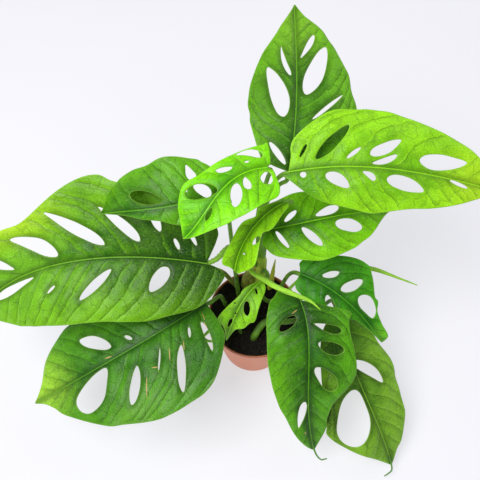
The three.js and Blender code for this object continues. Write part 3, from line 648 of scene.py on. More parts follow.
def nearest(points, loops):
    """Distance from each point to the loops, positive inside the blade, and the nearest place on them.

    A point is inside when a ray from it crosses the loops an odd number of times.
    """
    a = np.vstack(loops)
    b = np.vstack([np.roll(loop, -1, 0) for loop in loops])
    run = b - a
    size = (run**2).sum(1)
    far = np.empty(len(points))
    foot = np.empty_like(points)
    for first in range(0, len(points), 4000):
        part = points[first:first + 4000]
        share = np.clip(((part[:, None] - a) * run).sum(2) / size, 0, 1)
        places = a + run * share[..., None]
        gaps = ((part[:, None] - places) ** 2).sum(2)
        best = gaps.argmin(1)
        rows = np.arange(len(part))
        x, y = part[:, 0, None], part[:, 1, None]
        spans = (a[:, 1] > y) != (b[:, 1] > y)
        with np.errstate(divide="ignore", invalid="ignore"):
            crossing = a[:, 0] + (y - a[:, 1]) / run[:, 1] * run[:, 0]
        inside = (spans & (x < crossing)).sum(1) % 2
        far[first:first + 4000] = np.sqrt(gaps[rows, best]) * np.where(inside == 1, 1, -1)
        foot[first:first + 4000] = places[rows, best]
    return far, foot


def edges_of(triangles):
    """Directed edges of triangles, and which of them no other triangle shares."""
    edges = np.vstack([triangles[:, [0, 1]], triangles[:, [1, 2]], triangles[:, [2, 0]]])
    _, index, count = np.unique(np.sort(edges, 1), axis=0, return_inverse=True, return_counts=True)
    return edges, count[index.ravel()] == 1


def flat_lattice(loops, step):
    """Points and triangles over the inside of closed loops.

    A lattice of even triangles, with a row on t = 0. Points within half a step of a loop move onto it, the
    triangles that then lie inside stay, and the points near the edge are evened out along and across it.
    """
    low, high = loops[0].min(0) - 2 * step, loops[0].max(0) + 2 * step
    row_gap = step * np.sqrt(0.75)
    rows = np.arange(int(low[1] / row_gap) - 1, int(high[1] / row_gap) + 2)
    columns = np.arange(int((high[0] - low[0]) / step) + 2)
    t, s = np.meshgrid(rows * row_gap, low[0] + columns * step, indexing="ij")
    s = s + (rows % 2)[:, None] * step / 2
    points = np.stack([s.ravel(), t.ravel()], 1)
    j, i = np.meshgrid(np.arange(len(rows) - 1), np.arange(len(columns) - 1), indexing="ij")
    here = (j * len(columns) + i).ravel()
    ahead, over = here + 1, here + len(columns)
    diagonal = over + 1
    odd = (rows[j.ravel()] % 2 == 1)[:, None]
    first = np.where(odd, np.stack([here, ahead, diagonal], 1), np.stack([here, ahead, over], 1))
    second = np.where(odd, np.stack([here, diagonal, over], 1), np.stack([ahead, diagonal, over], 1))
    triangles = np.vstack([first, second])
    far, foot = nearest(points, loops)
    snapped = np.abs(far) <= step / 2
    outside = (far < 0) & ~snapped
    triangles = triangles[~outside[triangles].any(1)]
    points[snapped] = foot[snapped]
    doubtful = snapped[triangles].all(1)
    kept = ~doubtful
    centres = points[triangles[doubtful]].mean(1)
    kept[doubtful] = nearest(centres, loops)[0] > 0.12 * step
    triangles = triangles[kept]
    used, triangles = np.unique(triangles, return_inverse=True)
    triangles = triangles.reshape(-1, 3)
    points = points[used]
    inner = ~snapped[used]
    edges, lone = edges_of(triangles)
    rim = edges[lone]
    for _ in range(3):
        for pairs, moving in ((rim, ~inner), (edges, inner & (far[used] < 2.5 * step))):
            total = np.zeros_like(points)
            count = np.zeros(len(points))
            for here, there in (pairs.T, pairs.T[::-1]):
                np.add.at(total, here, points[there])
                np.add.at(count, here, 1)
            moving = moving & (count > 1)
            mean = points.copy()
            mean[moving] = total[moving] / count[moving, None]
            if pairs is rim:
                points[moving] = nearest(mean[moving], loops)[1]
            else:
                on_rib = moving & (np.abs(points[:, 1]) < 1e-6)
                mean[on_rib, 1] = 0
                points[moving] = mean[moving]
    return points, triangles, rim


def vein_phase(leaf, s, t):
    """Place between side veins, whole on each vein, and the gap between them in mm.

    A vein that leaves the midrib at q lies at s = q + (lean + growth q / length) |t| + bow t^4 / half^3,
    so that it sweeps forward by the margin. That is solved for q, and q runs through the leaf's own veins.
    """
    out = np.abs(t)
    spread = 1 + VEIN["lean_growth"] * out / leaf["length"]
    q = (s - VEIN["lean"] * out - VEIN["bow"] * out**4 / leaf["half"] ** 3) / spread
    lean = VEIN["lean"] + VEIN["lean_growth"] * q / leaf["length"]
    slope = lean + 4 * VEIN["bow"] * (out / leaf["half"]) ** 3
    phase, gap = np.empty_like(q), np.empty_like(q)
    for side, row in enumerate(leaf["veins"]):
        first, last = row[1] - row[0], row[-1] - row[-2]
        spots = np.array([*(row[0] - first * np.arange(5, 0, -1)), *row, *(row[-1] + last * np.arange(1, 6))])
        here = (t > 0) == bool(side)
        phase[here] = np.interp(q[here], spots, np.arange(len(spots))) + 40 * side
        cell = np.clip(np.searchsorted(spots, q[here]) - 1, 0, len(spots) - 2)
        gap[here] = np.diff(spots)[cell]
    return phase, gap * spread / np.sqrt(1 + slope**2)


def blade_relief(leaf, s, t, rim, margin, settings):
    """Height in mm of the upper side: panels bulge between sunk veins, the midrib is a groove, edges wave.

    Puckers are smooth random heights on cells that follow the veins, and slow swells of two sizes lie under
    everything. Window edges turn down.
    """
    phase, gap = vein_phase(leaf, s, t)
    part = phase - np.floor(phase)
    out = np.abs(t)
    beside = np.minimum(part, 1 - part) * gap
    away = ease(out, 1.5, 8)
    inland = ease(rim, 0, 5)
    bulge = np.sin(np.pi * part) ** 1.2 * np.minimum(1, gap / 15)
    sunk = np.exp(-((beside / 1.1) ** 2))
    seed = int(leaf["length"])
    along_veins = np.stack([3.1 * phase + 200, out / 7 + 20], -1)
    pucker = value_noise(along_veins, 1.0, seed) - 0.5
    height = settings.quilt / MM * away * inland * (bulge + 0.8 * pucker * np.sin(np.pi * part) - 0.6 * sunk)
    place = np.stack([s, t], -1) + 400
    swell = 1.6 * (value_noise(place, 34.0, seed + 1) - 0.5) + 0.8 * (
        value_noise(place, 13.0, seed + 2) - 0.5
    )
    height += settings.swell / MM * swell * ease(out, 2, 20) * ease(s, 0, 15)
    height -= 0.6 * np.exp(-((t / 1.2) ** 2)) * ease(rim, 0, 3)
    wave = np.sin(s / 9.0 + 1.7 * np.sign(t)) + 0.6 * np.sin(s / 4.3 + 0.8 * np.sign(t))
    height += settings.wave / MM * wave * np.exp(-np.maximum(margin, 0) / 7) * ease(out, 3, 12)
    lip = np.exp(-rim / 1.8) * ease(margin, 1.5, 4)
    return height - 0.5 * lip, phase, gap


def keel_depth(leaf, s):
    """Depth of the keel under the midrib: none over the stalk's seat, full further on, fading to the tip."""
    start = ease(s, BLADE["keel_start"], BLADE["keel_full"])
    return BLADE["keel"] * start * (1 - 0.8 * np.clip(s / leaf["length"], 0, 1))


def blade(name, leaf, settings):
    """Arrays of a whole blade: both sides on one lattice of s and t, and a thin wall round them."""
    loops = [margin_loop(leaf)]
    for i, window in enumerate(leaf["windows"]):
        loops.append(window_loop(window, 1.9 * i + leaf["length"]))
    flat, triangles, edge = flat_lattice(loops, settings.step / MM)
    s, t = flat.T
    rim = np.maximum(nearest(flat, loops)[0], 0)
    margin = nearest(flat, loops[:1])[0]
    height, phase, gap = blade_relief(leaf, s, t, rim, margin, settings)
    middle, normal = leaf_place(leaf, s, t), leaf_normal(leaf, s, t)
    round_in = np.sqrt(np.clip(1 - (1 - np.minimum(rim / 1.2, 1)) ** 2, 0, 1))
    half_edge, half_body = settings.edge / MM / 2, settings.thickness / MM / 2
    half = half_edge + (half_body - half_edge) * round_in
    part = phase - np.floor(phase)
    ridge = 0.3 * np.exp(-((np.minimum(part, 1 - part) * gap / 0.8) ** 2)) * ease(rim, 0, 3)
    keel = keel_depth(leaf, s) * np.exp(-((t / 1.3) ** 2)) * ease(rim, 0, 2)
    upper = middle + normal * (height + half)[:, None]
    under = middle + normal * (height - half - keel - ridge)[:, None]
    n = len(flat)
    walls = np.vstack([
        np.stack([edge[:, 0], edge[:, 1], edge[:, 0] + n], 1),
        np.stack([edge[:, 1], edge[:, 1] + n, edge[:, 0] + n], 1),
    ])
    faces = np.vstack([triangles[:, ::-1], triangles + n, walls])
    out = np.abs(t)
    values = {
        "phase": phase,
        "gap": gap,
        "rim": rim,
        "margin": margin,
        "outness": out / (out + np.maximum(margin, 0) + 0.01),
    }
    values = {name: np.concatenate([value, value]) for name, value in values.items()}
    values["under"] = np.repeat([0.0, 1.0], n)
    return np.vstack([upper, under]), faces, values, np.vstack([flat, flat]) / 100


def stalk_line(points, step):
    """Centripetal Catmull-Rom curve through points in space, in even steps, with its share of the length.

    Each span is a cubic whose end slopes come from its neighbours, timed by the root of the distances.
    """
    p = np.array(points, float)
    p = np.vstack([2 * p[0] - p[1], p, 2 * p[-1] - p[-2]])
    gap = np.linalg.norm(np.diff(p, axis=0), axis=1) ** 0.5
    d0, d1, d2 = (gap[i:len(gap) - 2 + i, None, None] for i in range(3))
    x0, x1, x2, x3 = (p[i:len(p) - 3 + i, None] for i in range(4))
    v1 = ((x1 - x0) / d0 - (x2 - x0) / (d0 + d1) + (x2 - x1) / d1) * d1
    v2 = ((x2 - x1) / d1 - (x3 - x1) / (d1 + d2) + (x3 - x2) / d2) * d1
    u = (np.arange(60) / 60)[None, :, None]
    line = (2 * x1 - 2 * x2 + v1 + v2) * u**3 + (3 * x2 - 3 * x1 - 2 * v1 - v2) * u**2 + v1 * u + x1
    line = np.vstack([line.reshape(-1, 3), p[-2:-1]])
    run = np.concatenate([[0], np.cumsum(np.linalg.norm(np.diff(line, axis=0), axis=1))])
    count = max(6, int(run[-1] / step))
    even = np.linspace(0, run[-1], count + 1)
    return np.stack([np.interp(even, run, line[:, k]) for k in range(3)], 1), even


def frames_along(line):
    """Two unit vectors across a line at each point: from the axis that lies least along it all the way."""
    ahead = unit(np.gradient(line, axis=0))
    axes = np.array([[1, 0, 0], [0, 1, 0], [0, 0, 1], [0.7, 0.7, 0.2], [-0.7, 0.7, 0.2], [0.2, -0.6, 0.7]])
    least = np.abs(ahead @ unit(axes).T).max(0).argmin()
    side = unit(np.cross(ahead, axes[least]))
    return side, np.cross(ahead, side)


def grid_faces(rows, columns):
    """Triangles over a grid of points, row by row."""
    j, i = np.meshgrid(np.arange(rows - 1), np.arange(columns - 1), indexing="ij")
    a = (j * columns + i).ravel()
    b, c, d = a + 1, a + columns + 1, a + columns
    return np.vstack([np.stack([a, b, c], 1), np.stack([a, c, d], 1)])


def tube(points, radii, section, step=1.6, sides=28, ends=(1.0, 1.0)):
    """A section carried along a smooth line, and closed at both ends with round caps.

    section(angle, along, length) gives the radius as a share of the even one. ends are the caps' lengths as
    shares of the end radii. Returned as points, faces and a flat place in cm round and along it.
    """
    line, run = stalk_line(points, step)
    first, last = unit(line[0] - line[1]), unit(line[-1] - line[-2])
    size = between(radii, run / run[-1])
    turn = np.linspace(np.pi / 2, 0, 5)[:-1]
    cap = np.concatenate([np.cos(turn), np.ones(len(run)), np.cos(turn)[::-1]])
    shift = np.concatenate(
        [np.sin(turn) * ends[0] * size[0], run * 0, np.sin(turn)[::-1] * ends[1] * size[-1]]
    )
    index = np.concatenate([np.zeros(4, int), np.arange(len(run)), np.full(4, len(run) - 1)])
    way = np.where((np.arange(len(index)) < 4)[:, None], first, last)
    centre = line[index] + way * shift[:, None]
    side, over = (vector[index] for vector in frames_along(line))
    angle = np.linspace(0, 2 * np.pi, sides + 1)
    along = run[index][:, None]
    share = section(angle[None, :], along, run[-1])
    radius = (size[index] * cap)[:, None] * share
    ring = side[:, None] * np.cos(angle)[None, :, None] + over[:, None] * np.sin(angle)[None, :, None]
    grid = centre[:, None] + ring * radius[..., None]
    rows = len(index)
    flat = np.stack(np.broadcast_arrays(angle[None, :] * np.mean(radii) / 10, along / 10), 2)
    return grid.reshape(-1, 3), grid_faces(rows, sides + 1), flat.reshape(-1, 2)


def stalk_section(angle, along, length):
    """A leaf stalk: nearly round, with a shallow channel on one side and faint ribs, swollen at the knee."""
    channel = 0.1 * np.exp(-(((angle - np.pi) / 0.5) ** 2))
    knee = 0.16 * np.exp(-(((length - along - 5) / 5) ** 2))
    wrinkles = 0.035 * np.exp(-(((length - along - 5) / 6) ** 2)) * np.sin(along * 2.6)
    return 1 + 0.02 * np.sin(7 * angle) - channel + knee + wrinkles


def knobbly_section(angle, along, length):
    """The thick stalk of the big left leaf: knobbly rings and warts towards its knee."""
    rough = ease(along, 0.35 * length, 0.7 * length)
    rings = 0.09 * np.sin(along * 1.5 + 0.8 * np.sin(2 * angle))
    warts = 0.06 * np.sin(5 * angle + along * 0.9) * np.sin(along * 2.3)
    return 1 + 0.02 * np.sin(7 * angle) + rough * (rings + warts)


def trunk_section(angle, along, length):
    """The climbing stem: ribbed, with ring scars where old leaves were."""
    nodes = 0.07 * np.exp(-((((along % 21) - 10) / 1.6) ** 2))
    return 1 + 0.025 * np.sin(9 * angle) + nodes


def sheath_section(angle, along, length):
    """An old leaf base: deep fibrous ribs, swollen in the middle, open down one side."""
    belly = 0.1 * np.sin(np.pi * np.clip(along / length, 0, 1))
    ribs = 0.05 * np.sin(11 * angle) + 0.02 * np.sin(23 * angle + along * 0.2)
    opening = 0.2 * np.exp(-(((angle - 4.4) / 0.3) ** 2)) * ease(along, 0.4 * length, 0.8 * length)
    return 0.96 + belly + ribs - opening


def rolled_section(angle, along, length):
    """A rolled blade: the radius grows by an eighth round one turn, and the roll winds along the shoot."""
    turn = (angle + along * 0.05) % (2 * np.pi)
    seam = 0.22 * (turn / (2 * np.pi)) - 0.12
    pleats = 0.03 * np.sin(5 * turn + along * 0.1)
    lip = -0.12 * np.exp(-((turn / 0.12) ** 2))
    return 1 + seam + pleats + lip


def plain_section(angle, along, length):
    """A round thread with faint ribs."""
    return 1 + 0.03 * np.sin(6 * angle) + 0 * along


def leaf_stalk_points(leaf):
    """A leaf stalk's points, from its foot through the knee to a seat just under the start of the midrib."""
    radius = leaf.get("radii", STALK["radii"])[-1]
    drop = STALK["seat_gap"] + radius
    origin, ahead, right, up = leaf_frame(leaf, np.zeros(()))
    knee = leaf.get("knee", [-STALK["knee_behind"], 0, -drop - STALK["knee_drop"]])
    spots = [knee, [STALK["seat_ahead"], 0, -drop]]
    return [*leaf["stalk"], *[list(origin + ahead * a + right * b + up * c) for a, b, c in spots]]


def value_noise(place, size, seed):
    """Smooth random heights from 0 to 1: values at the corners of cells of that size, eased between."""
    table = np.random.default_rng(seed).random((61, 61))
    cell = np.floor(place / size).astype(int)
    x, y = np.moveaxis(ease(place / size - cell, 0, 1), -1, 0)
    i, j = cell[..., 0], cell[..., 1]
    low = table[i % 61, j % 61] * (1 - x) + table[(i + 1) % 61, j % 61] * x
    high = table[i % 61, (j + 1) % 61] * (1 - x) + table[(i + 1) % 61, (j + 1) % 61] * x
    return low * (1 - y) + high * y


def wall_radius(z):
    """Outer radius of the pot's wall at a height."""
    return POT["foot"] + (POT["mouth"] - POT["lip"] / 3 - POT["foot"]) * z / POT["height"]


def peat_top(x, y):
    """Height of the peat's top: low swells, and crumbs of three sizes."""
    edge = wall_radius(SOIL["level"]) - POT["wall"]
    inward = 1 - np.hypot(x, y) / edge
    swell = np.sin(x / SOIL["swell_lengths"][0]) * np.cos(y / SOIL["swell_lengths"][1])
    place = np.stack([x + 200, y + 200], -1)
    crumbs = 1.5 * value_noise(place, 5.5, 3) + 0.9 * value_noise(place, 2.3, 4) + 0.5 * value_noise(
        place, 1.2, 5
    )
    return SOIL["level"] - 1.2 + SOIL["swell"] * (swell + inward) + crumbs


def make_mesh(name, points, faces, flat=None, values=None, merge=True):
    """A mesh from arrays in mm, with a UV map of its flat places and an attribute for each row of values."""
    mesh = bpy.data.meshes.new(name)
    mesh.vertices.add(len(points))
    mesh.vertices.foreach_set("co", (points * MM).astype(np.float32).ravel())
    corners = faces.astype(np.int32).ravel()
    size = faces.shape[1]
    mesh.loops.add(len(corners))
    mesh.loops.foreach_set("vertex_index", corners)
    mesh.polygons.add(len(faces))
    mesh.polygons.foreach_set("loop_start", np.arange(0, len(corners), size, dtype=np.int32))
    mesh.polygons.foreach_set("use_smooth", np.ones(len(faces), bool))
    mesh.update(calc_edges=True)
    if flat is not None:
        layer = mesh.uv_layers.new(name="flat")
        layer.uv.foreach_set("vector", flat[corners].astype(np.float32).ravel())
    for key, row in (values or {}).items():
        attribute = mesh.attributes.new(key, "FLOAT", "POINT")
        attribute.data.foreach_set("value", row.astype(np.float32))
    if merge:
        work = bmesh.new()
        work.from_mesh(mesh)
        bmesh.ops.remove_doubles(work, verts=work.verts, dist=2e-6)
        bmesh.ops.dissolve_degenerate(work, edges=work.edges, dist=1e-7)
        work.to_mesh(mesh)
        work.free()
    mesh.validate()
    return mesh


def add_piece(name, mesh, material, slot, *nodes):
    """Puts a finished mesh into the scene, riding on the root and standing for its nodes."""
    piece = bpy.data.objects.new(name, mesh)
    bpy.context.scene.collection.objects.link(piece)
    mesh.materials.append(material)
    if nodes:
        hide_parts(*nodes)
    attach(piece, "root")
    return piece


def srgb(red, green, blue):
    """Linear colour of sRGB bytes: (c + 0.055) / 1.055 to the power 2.4, or c / 12.92 for dark ones."""
    c = np.array([red, green, blue]) / 255
    linear = np.where(c > 0.04045, ((c + 0.055) / 1.055) ** 2.4, c / 12.92)
    return (*[float(x) for x in linear], 1.0)


class Nodes:
    """Adds shader nodes to a tree, and hands back the socket that carries each result."""

    def __init__(self, tree):
        self.tree = tree
        self.count = 0

    def add(self, kind, sockets=None, **settings):
        """Adds a node, sets its settings, and feeds its sockets with links or plain values."""
        node = self.tree.nodes.new(kind)
        node.location = (200 * (self.count // 5), -240 * (self.count % 5))
        self.count += 1
        for key, value in settings.items():
            setattr(node, key, value)
        for key, value in (sockets or {}).items():
            if isinstance(value, bpy.types.NodeSocket):
                self.tree.links.new(value, node.inputs[key])
            else:
                node.inputs[key].default_value = value
        return node

    def maths(self, operation, first, second=0.0, third=0.0, clamp=False):
        """A Math node's result."""
        sockets = {0: first, 1: second, 2: third}
        return self.add("ShaderNodeMath", sockets, operation=operation, use_clamp=clamp).outputs[0]

    def step(self, value, low, high, start=0.0, end=1.0):
        """Eases from start to end as the value goes from low to high."""
        sockets = {"Value": value, "From Min": low, "From Max": high, "To Min": start, "To Max": end}
        return self.add("ShaderNodeMapRange", sockets, interpolation_type="SMOOTHSTEP").outputs["Result"]

    def mix(self, share, first, second, blend="MIX"):
        """First colour turned towards the second by share."""
        sockets = {0: share, 6: first, 7: second}
        node = self.add("ShaderNodeMix", sockets, data_type="RGBA", blend_type=blend, clamp_factor=True)
        return node.outputs[2]

    def value(self, name):
        """A named attribute of the piece."""
        return self.add("ShaderNodeAttribute", attribute_name=name).outputs["Fac"]

    def noise(self, place, scale, detail=3.0, roughness=0.5):
        """Smooth noise from 0 to 1; a larger scale gives smaller spots."""
        sockets = {"Vector": place, "Scale": scale, "Detail": detail, "Roughness": roughness}
        return self.add("ShaderNodeTexNoise", sockets).outputs["Fac"]

    def effect(self, tree, sockets):
        """Places a node group, and hands back its outputs by name."""
        node = self.add("ShaderNodeGroup", node_tree=tree)
        for key, value in sockets.items():
            if isinstance(value, bpy.types.NodeSocket):
                self.tree.links.new(value, node.inputs[key])
            else:
                node.inputs[key].default_value = value
        return node.outputs


def new_effect(name, inputs, outputs):
    """A shader node group with named number or vector inputs and number outputs, ready to be filled."""
    tree = bpy.data.node_groups.new(name, "ShaderNodeTree")
    for key, value in inputs.items():
        kind = "NodeSocketVector" if value is None else "NodeSocketFloat"
        socket = tree.interface.new_socket(name=key, in_out="INPUT", socket_type=kind)
        if value is not None:
            socket.default_value = value
    for key in outputs:
        tree.interface.new_socket(name=key, in_out="OUTPUT", socket_type="NodeSocketFloat")
    n = Nodes(tree)
    return n, n.add("NodeGroupInput").outputs, n.add("NodeGroupOutput")


def finish_effect(n, end, values):
    """Links the values to the group's outputs, by name."""
    for key, socket in values.items():
        n.tree.links.new(socket, end.inputs[key])
    return n.tree


def side_veins_effect():
    """Side veins of a blade: thin lines where the phase is whole, painted shade on one side of each vein and
    a painted highlight on the other, and painted shade of folds.

    The fold shade is streaks of noise that run beside the veins. Out is the distance from the midrib in mm.
    """
    inputs = {"Phase": 0.0, "Gap": 12.0, "Out": 0.0, "Width": 0.5}
    n, given, end = new_effect("Side Veins", inputs, ["Line", "Shade", "Glow", "Fold Shade"])
    part = n.maths("FRACT", given["Phase"])
    back = n.maths("SUBTRACT", 1.0, part)
    near = n.maths("MULTIPLY", n.maths("MINIMUM", part, back), given["Gap"])
    line = n.step(near, 0.0, given["Width"], 1.0, 0.0)
    # Painted shade just past each vein, and a painted highlight just before the next one.
    shade = n.step(n.maths("MULTIPLY", part, given["Gap"]), 0.0, 5.0, 1.0, 0.0)
    glow = n.step(n.maths("MULTIPLY", back, given["Gap"]), 0.0, 4.5, 1.0, 0.0)
    across = n.maths("MULTIPLY", given["Phase"], 2.1)
    along = n.maths("DIVIDE", given["Out"], 16.0)
    place = n.add("ShaderNodeCombineXYZ", {"X": across, "Y": along}).outputs[0]
    # Painted shade of folds: streaks of noise beside the veins.
    fold_shade = n.step(n.noise(place, 1.0, 3.0, 0.6), 0.3, 0.7)
    return finish_effect(n, end, {"Line": line, "Shade": shade, "Glow": glow, "Fold Shade": fold_shade})


def net_veins_effect():
    """Net of the finest veins: the edges of cells of that size in mm, on a flat place in units of 100 mm."""
    n, given, end = new_effect("Net Veins", {"Place": None, "Size": 3.0}, ["Net", "Cell"])
    wobble = n.add("ShaderNodeTexNoise", {"Vector": given["Place"], "Scale": 22.0, "Detail": 2.0}).outputs[
        "Color"
    ]
    shift = n.add("ShaderNodeVectorMath", {0: wobble, "Scale": 0.03}, operation="SCALE").outputs[0]
    place = n.add("ShaderNodeVectorMath", {0: given["Place"], 1: shift}, operation="ADD").outputs[0]
    scale = n.maths("DIVIDE", 100.0, given["Size"])
    cells = {"Vector": place, "Scale": scale}
    edge = n.add("ShaderNodeTexVoronoi", cells, feature="DISTANCE_TO_EDGE").outputs["Distance"]
    net = n.step(edge, 0.0, 0.16, 1.0, 0.0)
    return finish_effect(n, end, {"Net": net, "Cell": n.step(edge, 0.0, 0.4)})


def blotches_effect():
    """Soft blotches of the size given in mm, from 0 to 1, on a flat place in units of 100 mm."""
    n, given, end = new_effect("Blotches", {"Place": None, "Size": 16.0}, ["Blotch"])
    noise = n.noise(given["Place"], n.maths("DIVIDE", 100.0, given["Size"]), 2.0, 0.45)
    return finish_effect(n, end, {"Blotch": n.step(noise, 0.34, 0.66)})


def soft_spot_effect():
    """An oval spot with a ragged edge, turned in the blade's plane. Softness is the share that fades."""
    inputs = {
        "Place": None, "Centre S": 0.0, "Centre T": 0.0, "Reach S": 10.0, "Reach T": 10.0, "Turn": 0.0,
        "Softness": 0.5, "Ragged": 0.3,
    }
    n, given, end = new_effect("Soft Spot", inputs, ["Mask"])
    place = n.add("ShaderNodeSeparateXYZ", {0: given["Place"]}).outputs
    s = n.maths("MULTIPLY_ADD", place["X"], 100.0, n.maths("MULTIPLY", given["Centre S"], -1.0))
    t = n.maths("MULTIPLY_ADD", place["Y"], 100.0, n.maths("MULTIPLY", given["Centre T"], -1.0))
    cosine, sine = n.maths("COSINE", given["Turn"]), n.maths("SINE", given["Turn"])
    along = n.maths("ADD", n.maths("MULTIPLY", s, cosine), n.maths("MULTIPLY", t, sine))
    over = n.maths("SUBTRACT", n.maths("MULTIPLY", t, cosine), n.maths("MULTIPLY", s, sine))
    along, over = n.maths("DIVIDE", along, given["Reach S"]), n.maths("DIVIDE", over, given["Reach T"])
    far = n.maths("SQRT", n.maths("ADD", n.maths("MULTIPLY", along, along), n.maths("MULTIPLY", over, over)))
    ragged = n.maths("SUBTRACT", n.noise(given["Place"], 40.0), 0.5)
    far = n.maths("MULTIPLY_ADD", ragged, given["Ragged"], far)
    inner = n.maths("SUBTRACT", 1.0, given["Softness"])
    return finish_effect(n, end, {"Mask": n.step(far, inner, 1.0, 1.0, 0.0)})


def streaks_effect():
    """Fibre streaks along a stalk, and slow colour changes, on a flat place in cm round and along it."""
    n, given, end = new_effect(
        "Fibre Streaks", {"Place": None, "Round": 8.0, "Along": 0.5}, ["Streak", "Slow"]
    )
    scale = n.add("ShaderNodeCombineXYZ", {"X": given["Round"], "Y": given["Along"], "Z": 1.0}).outputs[0]
    place = n.add("ShaderNodeVectorMath", {0: given["Place"], 1: scale}, operation="MULTIPLY").outputs[0]
    streak = n.step(n.noise(place, 1.6, 4.0, 0.6), 0.35, 0.68)
    return finish_effect(
        n, end, {"Streak": streak, "Slow": n.step(n.noise(given["Place"], 0.8, 2.0), 0.35, 0.65)}
    )


def specks_effect():
    """Small round specks of uneven size, on places in the unit that Scale counts."""
    n, given, end = new_effect("Specks", {"Place": None, "Scale": 60.0, "Share": 0.25}, ["Speck"])
    cells = n.add("ShaderNodeTexVoronoi", {"Vector": given["Place"], "Scale": given["Scale"]}).outputs
    chance = n.add("ShaderNodeSeparateColor", {0: cells["Color"]}).outputs[0]
    chosen = n.maths("LESS_THAN", chance, given["Share"])
    dot = n.step(cells["Distance"], 0.06, 0.2, 1.0, 0.0)
    return finish_effect(n, end, {"Speck": n.maths("MULTIPLY", dot, chosen)})


EFFECTS = {}
EFFECT_MAKERS = {
    "veins": side_veins_effect,
    "net": net_veins_effect,
    "blotches": blotches_effect,
    "spot": soft_spot_effect,
    "streaks": streaks_effect,
    "specks": specks_effect,
}


def effect(key):
    """A shared node group, built the first time that it is asked for."""
    if key not in EFFECTS:
        EFFECTS[key] = EFFECT_MAKERS[key]()
    return EFFECTS[key]


def new_material(name):
    """A material with one Principled shader, the helper for its nodes, and a function that joins a socket."""
    material = bpy.data.materials.new(name)
    material.use_nodes = True
    tree = material.node_tree
    shader = tree.nodes["Principled BSDF"]

    def join(**sockets):
        for key, socket in sockets.items():
            tree.links.new(socket, shader.inputs[key.replace("_", " ").title()])

    return material, Nodes(tree), shader, join


def bump(n, height, strength=0.6, millimetres=0.4, normal=None):
    """Normal from a height that runs from 0 to 1, which stands for so many millimetres."""
    sockets = {"Height": height, "Strength": strength, "Distance": millimetres * MM}
    if normal is not None:
        sockets["Normal"] = normal
    return n.add("ShaderNodeBump", sockets).outputs["Normal"]


